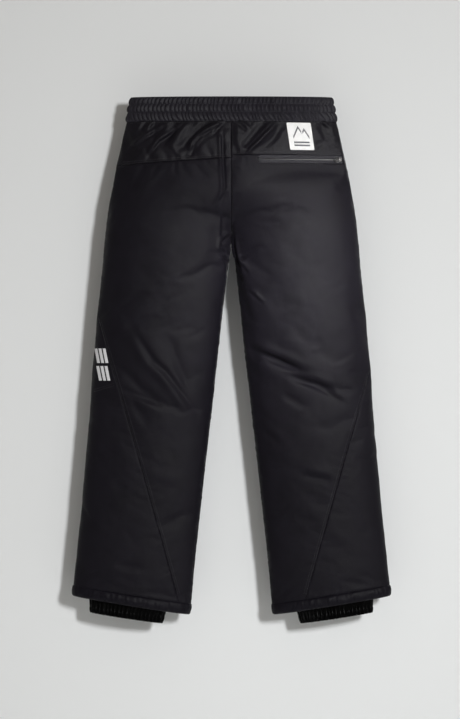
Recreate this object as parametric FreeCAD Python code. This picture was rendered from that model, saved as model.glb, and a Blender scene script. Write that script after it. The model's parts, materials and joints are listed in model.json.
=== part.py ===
"""Insulated ski pants, modelled as their sewn pieces, zips, snap and snow gaiters.

The pants hang upright and lie nearly flat, as a garment does on a hanger. Units are millimetres.
+X is the wearer's right, +Y the wearer's front, +Z up. The origin is on the centre line, half way
between the front and back faces, at the height of the lowest point of the gaiters.

Every fabric piece is a patch of one skin. A place on the skin is (side, angle, height): side is
+1 for the wearer's right half and -1 for the left, and angle runs from 0 at the inseam or the
centre back seam, over the back, to pi at the outseam, then over the front to 2 pi at the inseam or
the centre front. An inset moves a place inwards, square to the skin, so layers nest.
"""

import FreeCAD
import Part

import math
import os

from FreeCAD import Vector

# --- Driving dimensions -------------------------------------------------------------------------
WAIST_TOP_Z = 1052.0
WAIST_SEAM_Z = 1004.0
CROTCH_Z = 757.0
KNEE_Z = 425.0
KNEE_REACH = 50.0
HEM_OUTER_Z = 56.0
HEM_INNER_Z = 18.0

WAIST_TOP_HALF = 201.0
WAIST_SEAM_HALF = 210.0
HIP_HALF = 256.0
HIP_Z = 767.0
HEM_OUTER_X = 319.0
HEM_INNER_X = 83.0
WAIST_FLARE = 0.23

WAIST_SEAM_DEPTH = 30.0
SEAT_Z = 870.0
SEAT_SLOPE = -0.13
CROTCH_DEPTH = 48.0
HEM_DEPTH = 33.0

SEAM_GAP = 0.3
SEAM_ANGLE = 0.012
SEW_TOLERANCE = 0.002

# Layers, as insets of their outer and inner face.
SHELL = (0.0, 1.0)
POCKET_BAG = (2.8, 4.0)
INSULATION = (5.0, 8.0)
LINING = (9.6, 10.4)
FLY_SHIELD = (11.2, 12.2)
BAND_CASING = (-1.5, 0.0)
BAND_ELASTIC = (0.4, 1.8)
BAND_FACING = (2.2, 3.2)
LABEL = (-1.0, -0.1)
LABEL_MARK = (-1.3, -1.05)
PRINT = (-0.35, -0.08)

# Seams that run down the legs, and across the back under the yoke.
SIDE_SEAM_HIGH_Z = 615.0
SIDE_SEAM_LOW_Z = 508.0
SIDE_SEAM_SLOPE = 0.00157
SIDE_SEAM_EASE = 12.0
SIDE_PANEL_TIP = 8.0
YOKE_LEFT_Z = 930.0
YOKE_LEFT_SLOPE = -0.062
YOKE_RIGHT_Z = 935.5

ELASTIC_SPAN = (1008.0, 1048.0)
FACING_SPAN = (1006.0, 1051.0)
HEM_HEIGHT = 22.0
HEM_WALL = 1.6
HEM_ROUND = 5.0
LINING_HEM = 4.0
GAITER_HALF = 72.0
GAITER_DEPTH = 20.0
GAITER_X = 211.0
GAITER_OUTER_Z = 22.0
GAITER_TOP_Z = 196.0
GAITER_TOP_INSET = 12.4
GAITER_WALL = 0.8
GAITER_ELASTIC = (1.1, 2.1)
GAITER_ELASTIC_SPAN = (2.0, 12.0)

# Zips: ends of each slider's travel as (x, z), and the plane the skin follows beside it.
REAR_ZIP = ((56.0, 927.0), (214.5, 927.0))
REAR_PLANE = (-38.5, 0.147, 0.13)
HAND_ZIP = ((188.0, 845.0), (130.0, 975.0))
HAND_PLANE = (30.4, -0.1725, -0.103)
FLY_ZIP = ((0.0, 872.0), (0.0, 989.0))
FLAT_NEAR = 14.0
FLAT_FAR = 60.0
FLAT_END = 9.0
FLAT_END_FADE = 35.0
FLAT_EDGE = 4.0

# Slots that the zips need: spans across, how far each runs past the zip, and how deep.
HAND_WINDOW = (-7.8, 7.8)
REAR_WINDOW = (-7.8, 9.5)
FLY_WINDOW = (-5.5, 5.5)
FLY_SLOT = (-15.0, 15.0)
WINDOW_ENDS = (3.0, 2.4)
SLOT_ENDS = (4.0, 4.0)
OPEN_ENDS = (4.0, 12.0)
WINDOW_OUT = (-12.0, 9.0)
POCKET_TAPE_INSET = 1.3
FLY_TAPE_INSET = 1.6

TAPE_INNER = 0.7
TAPE_OUTER = 12.5
TAPE_TIP = 7.0
TAPE_THICK = 0.8
TAPE_START = 5.0
TAPE_FINISH = 2.4
COIL_INNER = 0.66
COIL_OUTER = 2.5
COIL_TOOTH = 0.6
COIL_PITCH = 2.6
COIL_OUT = (-2.1, -0.85)

# Sliders, pulls and stops. The slider's edge is half of a plate's outline.
SLIDER_HALF_LENGTH = 5.6
SLIDER_EDGE = ((-5.6, 2.6), (-1.0, 3.2), (1.5, 4.4), (4.2, 4.4), (5.6, 2.4))
SLIDER_TOP = (0.15, 1.4)
SLIDER_BOTTOM = (-3.3, -2.3)
SLIDER_NECK = (1.8, 4.4)
SLIDER_NECK_WIDTH = (-0.5, 0.5)
SLIDER_LAP = 0.2
CROWN_HALF = 4.2
CROWN_WIDTH = 1.1
CROWN_LEG = 1.2
CROWN_LEG_WIDTH = 0.9
CROWN_BAR = (3.8, 4.9)
CROWN_ROUND = 0.45
PULL_PIN_OUT = 2.6
PULL_WIRE = 0.9
RING_RADIUS = 4.8
TAB_LENGTH = 22.0
TAB_HALF_WIDTH = 3.4
TAB_HALF_THICK = 0.8
TAB_PIN_REACH = 2.9
TAB_EYE = (-7.0, 1.0)
TAB_EYE_HALF = 2.1
TAB_HOLE = 1.5
TAB_HOLE_IN = 4.0
TAB_CORNER = 2.4
STOP_LENGTH = 1.4
STOP_OUT = (0.1, 1.0)
STOP_ACROSS = (1.0, 3.4)
STOP_GAP = 0.3

# Corners of the flat sheets as (x, z): low near, low far, high near, high far.
HAND_BAG = ((80.0, 800.0), (170.5, 848.0), (70.0, 962.0), (116.5, 968.0))
REAR_BAG = ((60.0, 792.0), (196.0, 792.0), (52.0, 913.9), (203.0, 913.9))
SHIELD = ((0.3, 868.0), (22.0, 868.0), (0.3, 1003.0), (22.0, 1003.0))
LABEL_CORNERS = ((117.0, 945.5), (165.5, 945.5), (109.0, 1000.0), (157.5, 1000.0))

# Strokes of the label's mark as fractions of the label: start, end and height of the stroke.
MARK_LINES = (
    ((0.20, 0.14), (0.84, 0.14), 0.06),
    ((0.20, 0.25), (0.84, 0.25), 0.06),
    ((0.20, 0.40), (0.44, 0.78), 0.10),
    ((0.44, 0.78), (0.56, 0.58), 0.10),
    ((0.60, 0.58), (0.68, 0.70), 0.10),
    ((0.68, 0.70), (0.86, 0.40), 0.10),
)
PRINT_ROWS = (486.0, 521.0)
PRINT_COUNT = 3
PRINT_X = 241.0
PRINT_ROW_SHIFT = 4.0
PRINT_PITCH = 8.5
PRINT_WIDTH = 6.0
PRINT_HEIGHT = 29.0

# Waist tab and its snap, in a frame on the front of the waistband: out is measured from the skin.
SNAP_X = 12.0
SNAP_Z = 1028.0
WAIST_TAB_HINGE_X = -26.0
WAIST_TAB_END_X = 26.0
WAIST_TAB_HALF_HEIGHT = 18.0
WAIST_TAB_OUT = (4.8, 7.0)
WAIST_TAB_CORNER = 7.0
WAIST_TAB_ANCHOR = (-46.0, -27.4)
WAIST_TAB_ANCHOR_OUT = (1.7, 4.6)

# Snap discs: radius, and span out from the skin.
STUD_FLANGE = (5.0, (1.7, 2.5))
STUD_POST = (1.9, (2.4, 4.4))
SOCKET = (5.5, (2.8, 4.7))
SOCKET_HOLE = 2.6
CAP = (7.5, (7.1, 8.9))
CAP_ROUND = 0.8

# How many points each surface is drawn through, across and up.
SMALL_GRID = (7, 7)
YOKE_GRID = (41, 13)
SEAT_GRID = (41, 61)
FRONT_GRID = (41, 69)
SIDE_GRID = (13, 27)
KNEE_GRID = (15, 15)
CALF_GRID = (21, 27)
INNER_GRID = (61, 61)
BAND_GRID = (91, 7)
BAG_GRID = (17, 13)
HEM_POINTS = 48
GAITER_POINTS = 40
GAITER_STATIONS = 5


# --- The skin -----------------------------------------------------------------------------------
def smooth(t):
    """0 below 0, 1 above 1 and a smooth step between."""
    t = max(0.0, min(1.0, t))
    return t * t * (3.0 - 2.0 * t)


def hermite(z, start, end, slopes):
    """Cubic in z between two (z, value) points, with the slopes given at each."""
    span = end[0] - start[0]
    t = (z - start[0]) / span
    rise = 3 * t**2 - 2 * t**3
    value = (1 - rise) * start[1] + rise * end[1]
    return value + (t**3 - 2 * t**2 + t) * span * slopes[0] + (t**3 - t**2) * span * slopes[1]


def outer_x(z):
    """Half width of the whole garment: straight legs, a curved hip and a tapered waistband."""
    leg_slope = (HIP_HALF - HEM_OUTER_X) / (HIP_Z - HEM_OUTER_Z)
    if z <= HIP_Z:
        return HIP_HALF + (z - HIP_Z) * leg_slope
    if z <= WAIST_SEAM_Z:
        ends = (HIP_Z, HIP_HALF), (WAIST_SEAM_Z, WAIST_SEAM_HALF)
        return hermite(z, *ends, (leg_slope, -WAIST_FLARE))
    taper = (WAIST_TOP_HALF - WAIST_SEAM_HALF) / (WAIST_TOP_Z - WAIST_SEAM_Z)
    return WAIST_SEAM_HALF + (z - WAIST_SEAM_Z) * taper


def inner_x(z):
    """Distance of the inseam from the centre line; above the crotch it is the centre seam."""
    slope = (HEM_INNER_X - SEAM_GAP) / (CROTCH_Z - HEM_INNER_Z)
    return SEAM_GAP + max(0.0, CROTCH_Z - z) * slope


def depth(z):
    """Half thickness of the garment, front to back."""
    leg_slope = (CROTCH_DEPTH - HEM_DEPTH) / (CROTCH_Z - HEM_INNER_Z)
    if z <= CROTCH_Z:
        return CROTCH_DEPTH + (z - CROTCH_Z) * leg_slope
    if z <= SEAT_Z:
        seat_depth = WAIST_SEAM_DEPTH + (SEAT_Z - WAIST_SEAM_Z) * SEAT_SLOPE
        ends = (CROTCH_Z, CROTCH_DEPTH), (SEAT_Z, seat_depth)
        return hermite(z, *ends, (leg_slope, SEAT_SLOPE))
    return WAIST_SEAM_DEPTH + (z - WAIST_SEAM_Z) * SEAT_SLOPE


def hip_share(z):
    """0 on the legs, 1 where the two halves join in one tube."""
    return smooth((z - CROTCH_Z) / (SEAT_Z - CROTCH_Z))


class FlatSpot:
    """Plane that the skin follows beside a straight zip, fading to the round skin around it."""

    def __init__(self, ends, plane):
        (self.x0, self.z0), (x1, z1) = ends
        self.length = math.hypot(x1 - self.x0, z1 - self.z0)
        self.direction = (x1 - self.x0) / self.length, (z1 - self.z0) / self.length
        self.y0, self.slope_x, self.slope_z = plane

    def y(self, x, z):
        return self.y0 + self.slope_x * (x - self.x0) + self.slope_z * (z - self.z0)

    def share(self, x, z):
        cos, sin = self.direction
        along = (x - self.x0) * cos + (z - self.z0) * sin
        across = abs((z - self.z0) * cos - (x - self.x0) * sin)
        beyond = max(-along, along - self.length) - FLAT_END
        edge = outer_x(z) - FLAT_EDGE
        beside = 1.0 - smooth((across - FLAT_NEAR) / (FLAT_FAR - FLAT_NEAR))
        ends = 1.0 - smooth(beyond / FLAT_END_FADE)
        return beside * ends * (1.0 - smooth((x - edge) / FLAT_EDGE))

    def normal(self):
        """Unit normal that points away from the centre of the garment."""
        sign = 1.0 if self.y0 > 0 else -1.0
        return Vector(-self.slope_x * sign, sign, -self.slope_z * sign).normalize()


REAR_SPOT = FlatSpot(REAR_ZIP, REAR_PLANE)
HAND_SPOT = FlatSpot(HAND_ZIP, HAND_PLANE)


def on_skin(side, angle, z, inset=0.0):
    """Place on the skin, or on the smaller skin that nests inset millimetres within it."""
    share = hip_share(z)
    half_depth = depth(z)
    across = (1 - share) * (1 - math.cos(angle)) / 2 + share * math.sin(angle / 2)
    bulge = (1 - share) * math.sin(angle) + share * math.cos(angle / 2)
    inner, outer = inner_x(z), outer_x(z)
    x = inner + across * (outer - inner)
    y = -half_depth * bulge
    if angle > math.pi or side > 0:
        spot = HAND_SPOT if angle > math.pi else REAR_SPOT
        y += spot.share(x, z) * (spot.y(x, z) - y)
    x -= inset * (across - (1 - share) * (1 - across))
    return Vector(side * x, y * (1 - inset / half_depth), z)


def hem_z(side, angle, above=0.0):
    """Height of the slanted hem line at an angle, moved up by above."""
    slope = (HEM_OUTER_Z - HEM_INNER_Z) / (HEM_OUTER_X - HEM_INNER_X)
    z = HEM_INNER_Z
    for _ in range(4):
        x = abs(on_skin(side, angle, z).x)
        z = HEM_INNER_Z + above + (x - HEM_INNER_X) * slope
    return z


def angle_at(x, z, front=False):
    """Angle of the place on the back (or front) that is x from the centre line."""
    low, high = 0.0, math.pi
    for _ in range(30):
        middle = (low + high) / 2
        if on_skin(1, middle, z).x < x:
            low = middle
        else:
            high = middle
    return 2 * math.pi - low if front else low


# --- Solid makers -------------------------------------------------------------------------------
def spline(points):
    """Curve through evenly parametrised points."""
    curve = Part.BSplineCurve()
    last = len(points) - 1
    curve.interpolate(Points=points, Parameters=[i / last for i in range(len(points))])
    return curve


def spline_surface(grid):
    """Surface through a grid of points, evenly parametrised both ways."""
    rows = [spline(points) for points in grid]
    columns = [spline(list(poles)) for poles in zip(*[row.getPoles() for row in rows])]
    poles = list(zip(*[column.getPoles() for column in columns]))
    across, up = columns[0], rows[0]
    surface = Part.BSplineSurface()
    surface.buildFromPolesMultsKnots(
        poles,
        across.getMultiplicities(),
        up.getMultiplicities(),
        across.getKnots(),
        up.getKnots(),
        False,
        False,
        across.Degree,
        up.Degree,
    )
    return surface


def sheet(place, layer, count):
    """Closed solid between two insets of a patch; place(u, v, inset) has u and v from 0 to 1."""
    across, up = count
    us = [i / (across - 1) for i in range(across)]
    vs = [j / (up - 1) for j in range(up)]
    surfaces = [spline_surface([[place(u, v, inset) for v in vs] for u in us]) for inset in layer]
    outer, inner = surfaces
    borders = [(s.uIso(0), s.uIso(1), s.vIso(0), s.vIso(1)) for s in surfaces]
    faces = [outer.toShape(), inner.toShape()]
    faces += [Part.makeRuledSurface(a.toShape(), b.toShape(), 1) for a, b in zip(*borders)]
    return closed(faces)


def closed(faces):
    """Faces sewn into one solid with outward normals."""
    sewn = Part.Compound(faces)
    sewn.sewShape(SEW_TOLERANCE)
    solid = Part.Solid(sewn.Shells[0])
    if solid.Volume < 0:
        solid.reverse()
    return solid


def skin_sheet(side, layer, angles, heights, count):
    """Patch of the skin. angles(z) and heights(angle) each return a low and a high bound."""

    def place(u, v, inset):
        z = sum(heights(math.pi / 2)) / 2
        for _ in range(4):
            low, high = angles(z)
            angle = low + u * (high - low)
            bottom, top = heights(angle)
            z = bottom + v * (top - bottom)
        return on_skin(side, angle, z, inset)

    return sheet(place, layer, count)


def quad_sheet(side, layer, corners, front=False, count=SMALL_GRID):
    """Patch of the skin between four (x, z) corners: low near, low far, high near, high far."""

    def place(u, v, inset):
        (ax, az), (bx, bz), (cx, cz), (dx, dz) = corners
        x = (1 - v) * (ax + u * (bx - ax)) + v * (cx + u * (dx - cx))
        z = (1 - v) * (az + u * (bz - az)) + v * (cz + u * (dz - cz))
        return on_skin(side, angle_at(x, z, front), z, inset)

    return sheet(place, layer, count)


def loop_wire(points):
    """Closed smooth wire through points."""
    curve = Part.BSplineCurve()
    curve.interpolate(Points=points, PeriodicFlag=True)
    return Part.Wire([curve.toShape()])


def ring(outside, inside):
    """Closed band between a stack of outer loops and a stack of inner loops at the same heights."""
    stacks = [[loop_wire(points) for points in stack] for stack in (outside, inside)]
    faces = [face for stack in stacks for face in Part.makeLoft(stack, False, False).Faces]
    for end in (0, -1):
        faces.append(Part.makeRuledSurface(stacks[0][end].Edges[0], stacks[1][end].Edges[0], 1))
    return closed(faces)


def block(*spans):
    """Box from its spans along u, v and n, each with its ends in either order."""
    low, high = [Vector(*ends) for ends in zip(*[sorted(span) for span in spans])]
    return Part.makeBox(*(high - low), low)


def prism(outline, span):
    """Outline of (u, v) points, raised between two heights."""
    loop = [Vector(u, v, span[0]) for u, v in outline]
    face = Part.Face(Part.makePolygon(loop + loop[:1]))
    return face.extrude(Vector(0, 0, span[1] - span[0]))


def edges_at(edges, axis, value):
    """Those edges whose middle is at a value along an axis."""
    return [e for e in edges if abs(e.CenterOfMass[axis] - value) < SEAM_GAP]


def save(name, *solids):
    """Writes one node as STEP, after checking that each solid is sound."""
    for solid in solids:
        if not solid.isValid() or solid.Volume <= 0:
            print("unsound solid in", name)
    shape = solids[0] if len(solids) == 1 else Part.makeCompound(list(solids))
    shape.exportStep(os.path.join("parts", name + ".step"))


# --- Zips ---------------------------------------------------------------------------------------
class Frame:
    """Local axes: u, v and n at an origin. Shapes are drawn in (u, v, n) and placed."""

    def __init__(self, origin, u, n):
        self.origin = origin
        self.u = Vector(u).normalize()
        self.n = (n - self.u * n.dot(self.u)).normalize()
        self.v = self.n.cross(self.u)

    def point(self, u, v, n):
        return self.origin + self.u * u + self.v * v + self.n * n

    def place(self, shape, along=0.0):
        origin = self.origin + self.u * along
        columns = list(zip(self.u, self.v, self.n, origin))
        matrix = FreeCAD.Matrix(*[value for row in columns for value in row], 0, 0, 0, 1)
        placed = shape.copy()
        placed.Placement = FreeCAD.Placement(matrix).multiply(shape.Placement)
        return placed


class Zip(Frame):
    """Zip whose slider travels along u and closes at u = length; n points out of the garment."""

    def __init__(self, start, finish, normal):
        super().__init__(start, finish - start, normal)
        self.length = (finish - start).Length

    def window(self, across, ends=WINDOW_ENDS):
        """The slot that the zip needs through the layers around it."""
        along = (-ends[0], self.length + SLIDER_HALF_LENGTH + ends[1])
        return self.place(block(along, across, WINDOW_OUT))

    def tapes(self):
        """Two tapes, cut off slantwise where the slider parks."""
        finish = self.length + SLIDER_HALF_LENGTH + TAPE_FINISH
        taper = TAPE_OUTER - TAPE_TIP
        halves = []
        for s in (1, -1):
            outline = [
                (-TAPE_START, s * TAPE_INNER),
                (finish, s * TAPE_INNER),
                (finish, s * TAPE_TIP),
                (finish - taper, s * TAPE_OUTER),
                (-TAPE_START, s * TAPE_OUTER),
            ]
            halves.append(self.place(prism(outline, (-TAPE_THICK, 0))))
        return halves

    def coils(self):
        """Two rows of teeth, one sewn behind each tape edge."""
        rows = []
        count = int(self.length / COIL_PITCH)
        root = COIL_INNER + COIL_TOOTH
        for s in (1, -1):
            outline = [(0, s * COIL_OUTER)]
            for k in range(count):
                start = k * COIL_PITCH
                outline += [
                    (start, s * root),
                    (start + COIL_PITCH * 0.25, s * COIL_INNER),
                    (start + COIL_PITCH * 0.65, s * COIL_INNER),
                    (start + COIL_PITCH * 0.9, s * root),
                ]
            outline.append((count * COIL_PITCH, s * COIL_OUTER))
            rows.append(self.place(prism(outline, COIL_OUT)))
        return rows

    def slider(self, along):
        """Body with a tapered top plate, a neck between the tapes, a bottom plate and a crown."""
        outline = SLIDER_EDGE + tuple((u, -v) for u, v in reversed(SLIDER_EDGE))
        neck_out = (SLIDER_BOTTOM[1] - SLIDER_LAP, SLIDER_TOP[0] + SLIDER_LAP)
        neck = block(SLIDER_NECK, SLIDER_NECK_WIDTH, neck_out)
        bar = block((-CROWN_HALF, CROWN_HALF), (-CROWN_WIDTH, CROWN_WIDTH), CROWN_BAR)
        pieces = [prism(outline, SLIDER_BOTTOM), neck, bar.makeFillet(CROWN_ROUND, bar.Edges)]
        leg_out = (SLIDER_TOP[1] - SLIDER_LAP, CROWN_BAR[0] + 2 * SLIDER_LAP)
        for end in (-1, 1):
            span = (end * (CROWN_HALF - CROWN_ROUND / 4), end * (CROWN_HALF - CROWN_LEG))
            pieces.append(block(span, (-CROWN_LEG_WIDTH, CROWN_LEG_WIDTH), leg_out))
        return self.place(prism(outline, SLIDER_TOP).fuse(pieces).removeSplitter(), along)

    def ring_pull(self, along):
        """Round wire ring under the crown, lying back over the closed tape."""
        wire = Part.makeTorus(RING_RADIUS, PULL_WIRE)
        wire.translate(Vector(-RING_RADIUS, 0, PULL_PIN_OUT))
        return self.place(wire, along)

    def tab_pull(self, along):
        """Flat tab with a pin under the crown, lying back over the closed tape."""
        start = Vector(0, -TAB_PIN_REACH, PULL_PIN_OUT)
        pin = Part.makeCylinder(PULL_WIRE, 2 * TAB_PIN_REACH, start, Vector(0, 1, 0))
        thick = (PULL_PIN_OUT - TAB_HALF_THICK, PULL_PIN_OUT + TAB_HALF_THICK)
        plate = block((-TAB_LENGTH, 0), (-TAB_HALF_WIDTH, TAB_HALF_WIDTH), thick)
        corners = edges_at(edges_at(plate.Edges, 0, -TAB_LENGTH), 2, PULL_PIN_OUT)
        plate = plate.makeFillet(TAB_CORNER, corners)
        eye = block(TAB_EYE, (-TAB_EYE_HALF, TAB_EYE_HALF), (0, 2 * PULL_PIN_OUT))
        hole = Part.makeCylinder(TAB_HOLE, 2 * PULL_PIN_OUT, Vector(TAB_HOLE_IN - TAB_LENGTH, 0, 0))
        return self.place(plate.cut(eye).cut(hole).fuse(pin).removeSplitter(), along)

    def stops(self):
        """Clips that keep the slider on: one over both tapes at the start, two at the finish."""
        near, far = STOP_ACROSS
        shapes = [block((-near - STOP_LENGTH, -near), (-far, far), STOP_OUT)]
        park = self.length + SLIDER_HALF_LENGTH + STOP_GAP
        for s in (1, -1):
            shapes.append(block((park, park + STOP_LENGTH), (s * near, s * far), STOP_OUT))
        return [self.place(shape) for shape in shapes]


def spot_zip(side, spot, ends):
    """Zip laid in the flat spot of the skin."""
    normal = spot.normal()
    start, finish = [Vector(x, spot.y(x, z), z) - normal * POCKET_TAPE_INSET for x, z in ends]
    return Zip(mirrored(start, side), mirrored(finish, side), mirrored(normal, side))


def mirrored(vector, side):
    return Vector(vector.x * side, vector.y, vector.z)


def front_frame(x, z, inset):
    """Frame on the centre of the front: u points to the wearer's right and n out."""
    normal = Vector(0, 1, -SEAT_SLOPE).normalize()
    origin = Vector(x, depth(z), z) - normal * inset
    return origin, normal


def fly_zip():
    (x, low), (_, high) = FLY_ZIP
    start, normal = front_frame(x, low, FLY_TAPE_INSET)
    finish, _ = front_frame(x, high, FLY_TAPE_INSET)
    return Zip(start, finish, normal)


# --- Fabric pieces ------------------------------------------------------------------------------
def seam_drop(z, start):
    """Angle by which a side seam has moved off the outseam, below its start height."""
    below = start - z
    if below <= 0:
        return 0.0
    ease = below**2 / (below**2 + SIDE_SEAM_EASE**2)
    return 2 * math.asin(math.sqrt(SIDE_SEAM_SLOPE * below)) * ease


def seam_angles(side, z):
    """Angles of the back and front side seams. The high one is on the left back and right front."""
    back, front = (SIDE_SEAM_HIGH_Z, SIDE_SEAM_LOW_Z)[::-side]
    return math.pi - seam_drop(z, back), math.pi + seam_drop(z, front)


def inseam_angle(z):
    """Half of the gap at the inseam; at the centre seams the two halves already stand apart."""
    return SEAM_ANGLE * (1 - hip_share(z))


def back_span(side):
    return lambda z: (inseam_angle(z), seam_angles(side, z)[0] - SEAM_ANGLE)


def side_span(side):
    return lambda z: (seam_angles(side, z)[0] + SEAM_ANGLE, seam_angles(side, z)[1] - SEAM_ANGLE)


def front_span(side):
    return lambda z: (seam_angles(side, z)[1] + SEAM_ANGLE, 2 * math.pi - inseam_angle(z))


def level(low, high):
    """Heights of a piece with level ends, less the seam gaps."""
    return lambda angle: (low + SEAM_GAP, high - SEAM_GAP)


def yoke_z(side, angle):
    """Height of the seam under the yoke."""
    if side > 0:
        return YOKE_RIGHT_Z
    return YOKE_LEFT_Z + YOKE_LEFT_SLOPE * abs(on_skin(side, angle, YOKE_LEFT_Z).x)


def yoke(side):
    def heights(angle):
        return yoke_z(side, angle) + SEAM_GAP, WAIST_SEAM_Z - SEAM_GAP

    return skin_sheet(side, SHELL, back_span(side), heights, YOKE_GRID)


def seat(side):
    def heights(angle):
        return KNEE_Z + KNEE_REACH + SEAM_GAP, yoke_z(side, angle) - SEAM_GAP

    return skin_sheet(side, SHELL, back_span(side), heights, SEAT_GRID)


def front(side):
    heights = level(KNEE_Z + KNEE_REACH, WAIST_SEAM_Z)
    return skin_sheet(side, SHELL, front_span(side), heights, FRONT_GRID)


def thigh_side(side):
    heights = level(KNEE_Z + KNEE_REACH, SIDE_SEAM_HIGH_Z - SIDE_PANEL_TIP)
    return skin_sheet(side, SHELL, side_span(side), heights, SIDE_GRID)


def knee(side):
    """Back, side and front of the flexible knee."""
    heights = level(KNEE_Z - KNEE_REACH, KNEE_Z + KNEE_REACH)
    spans = (back_span, side_span, front_span)
    return [skin_sheet(side, SHELL, span(side), heights, KNEE_GRID) for span in spans]


def calf(side, span):
    def heights(angle):
        return hem_z(side, angle, HEM_HEIGHT + SEAM_GAP), KNEE_Z - KNEE_REACH - SEAM_GAP

    return skin_sheet(side, SHELL, span(side), heights, CALF_GRID)


def inner_layer(side, layer, slots):
    """Whole half of the inside: one tube from near the hem to the waist seam, less the slots."""

    def heights(angle):
        return hem_z(side, angle, LINING_HEM), WAIST_SEAM_Z - SEAM_GAP

    def angles(z):
        return 2 * SEAM_ANGLE, 2 * math.pi - 2 * SEAM_ANGLE

    solid = skin_sheet(side, layer, angles, heights, INNER_GRID)
    for slot in slots:
        solid = solid.cut(slot)
    return solid.Solids[0]


def band(layer, low, high):
    """Ring round the waist, open at the centre front."""
    reach = 2 * math.pi - SEAM_ANGLE

    def place(u, v, inset):
        turn = (2 * u - 1) * reach
        return on_skin(math.copysign(1, turn), abs(turn), low + v * (high - low), inset)

    return sheet(place, layer, BAND_GRID)


def hem_loop(side, above, inset):
    angles = [2 * math.pi * k / HEM_POINTS for k in range(HEM_POINTS)]
    return [on_skin(side, a, hem_z(side, a, above), inset) for a in angles]


def hem_band(side):
    """Padded band at the bottom of the leg."""
    rows = [
        (0.0, 0.0),
        (HEM_ROUND, -HEM_WALL),
        (HEM_HEIGHT - HEM_ROUND, -HEM_WALL),
        (HEM_HEIGHT - SEAM_GAP, 0.0),
    ]
    outside = [hem_loop(side, above, inset) for above, inset in rows]
    inside = [hem_loop(side, above, HEM_WALL) for above, _ in rows]
    return ring(outside, inside)


def gaiter_loop(side, down, inset):
    """Section of the gaiter: down runs from 0 at its top to 1 at the gathered bottom."""
    slope = GAITER_OUTER_Z / (2 * GAITER_HALF)
    points = []
    for k in range(GAITER_POINTS):
        angle = 2 * math.pi * k / GAITER_POINTS
        top = on_skin(1, angle, GAITER_TOP_Z, GAITER_TOP_INSET + inset)
        across = GAITER_HALF - (GAITER_HALF - inset) * math.cos(angle)
        y = -(GAITER_DEPTH - inset) * math.sin(angle)
        low = Vector(GAITER_X - GAITER_HALF + across, y, across * slope)
        points.append(mirrored(top * (1 - down) + low * down, side))
    return points


def gaiter_ring(side, span, layer):
    """Part of the gaiter tube between two places down it."""
    low, high = span
    last = GAITER_STATIONS - 1
    stations = [low + (high - low) * k / last for k in range(GAITER_STATIONS)]
    return ring(*[[gaiter_loop(side, station, inset) for station in stations] for inset in layer])


def gaiter_elastic(side):
    length = GAITER_TOP_Z - GAITER_OUTER_Z / 2
    low, high = GAITER_ELASTIC_SPAN
    return gaiter_ring(side, (1 - high / length, 1 - low / length), GAITER_ELASTIC)


# --- Marks --------------------------------------------------------------------------------------
def on_label(u, v):
    """Place on the slanted label, u across it and v up it, as (x, z)."""
    (ax, az), (bx, _), (cx, cz), _ = LABEL_CORNERS
    return ax + u * (bx - ax) + v * (cx - ax), az + v * (cz - az)


def label_mark():
    """Plain two-peak line over two bars."""
    strokes = []
    for (u0, v0), (u1, v1), rise in MARK_LINES:
        corners = (u0, v0), (u1, v1), (u0, v0 + rise), (u1, v1 + rise)
        strokes.append(quad_sheet(1, LABEL_MARK, [on_label(u, v) for u, v in corners]))
    return strokes


def leg_print():
    """Two rows of slanted bars on the left side panel."""
    bars = []
    for row, z in enumerate(PRINT_ROWS):
        for k in range(PRINT_COUNT):
            near = PRINT_X + PRINT_ROW_SHIFT * row + PRINT_PITCH * k
            far, top = near + PRINT_WIDTH, z + PRINT_HEIGHT
            corners = (near, z), (far, z), (far, top), (far + PRINT_WIDTH, top)
            bars.append(quad_sheet(-1, PRINT, corners))
    return bars


# --- Waist tab ----------------------------------------------------------------------------------
def tab_frame():
    """Frame at the middle of the front waistband, on the skin: u to the right, v down, n out."""
    origin, normal = front_frame(0.0, SNAP_Z, 0.0)
    return Frame(origin, Vector(1, 0, 0), normal)


def waist_tab(frame):
    """Strap with a round hinge edge and rounded free corners."""
    low, high = WAIST_TAB_OUT
    height = WAIST_TAB_HALF_HEIGHT
    plate = block((WAIST_TAB_HINGE_X, WAIST_TAB_END_X), (-height, height), WAIST_TAB_OUT)
    corners = edges_at(edges_at(plate.Edges, 0, WAIST_TAB_END_X), 2, (low + high) / 2)
    plate = plate.makeFillet(WAIST_TAB_CORNER, corners)
    start = Vector(WAIST_TAB_HINGE_X, -height, (low + high) / 2)
    edge = Part.makeCylinder((high - low) / 2, 2 * height, start, Vector(0, 1, 0))
    return frame.place(plate.fuse(edge).removeSplitter())


def waist_tab_anchor(frame):
    height = WAIST_TAB_HALF_HEIGHT
    return frame.place(block(WAIST_TAB_ANCHOR, (-height, height), WAIST_TAB_ANCHOR_OUT))


def disc(radius, span, hole=0.0):
    """Round plate at the snap, with an optional hole."""
    base = Vector(SNAP_X, 0, span[0])
    solid = Part.makeCylinder(radius, span[1] - span[0], base)
    if hole:
        solid = solid.cut(Part.makeCylinder(hole, span[1] - span[0], base))
    return solid


def snap_stud(frame):
    return frame.place(disc(*STUD_FLANGE).fuse(disc(*STUD_POST)).removeSplitter())


def snap_socket(frame):
    return frame.place(disc(*SOCKET, hole=SOCKET_HOLE))


def snap_cap(frame):
    cap = disc(*CAP)
    return frame.place(cap.makeFillet(CAP_ROUND, edges_at(cap.Edges, 2, CAP[1][1])))


# --- The whole garment --------------------------------------------------------------------------
def build_zip(prefix, closures, pull):
    """Sliders and pulls of one kind of zip; names carry the side when there are two."""
    for suffix, closure in closures.items():
        save(prefix + "_slider" + suffix, closure.slider(closure.length))
        save(prefix + "_pull" + suffix, getattr(closure, pull)(closure.length))
    save(prefix + "_zip_tape", *[t for closure in closures.values() for t in closure.tapes()])
    save(prefix + "_zip_coil", *[c for closure in closures.values() for c in closure.coils()])


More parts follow.
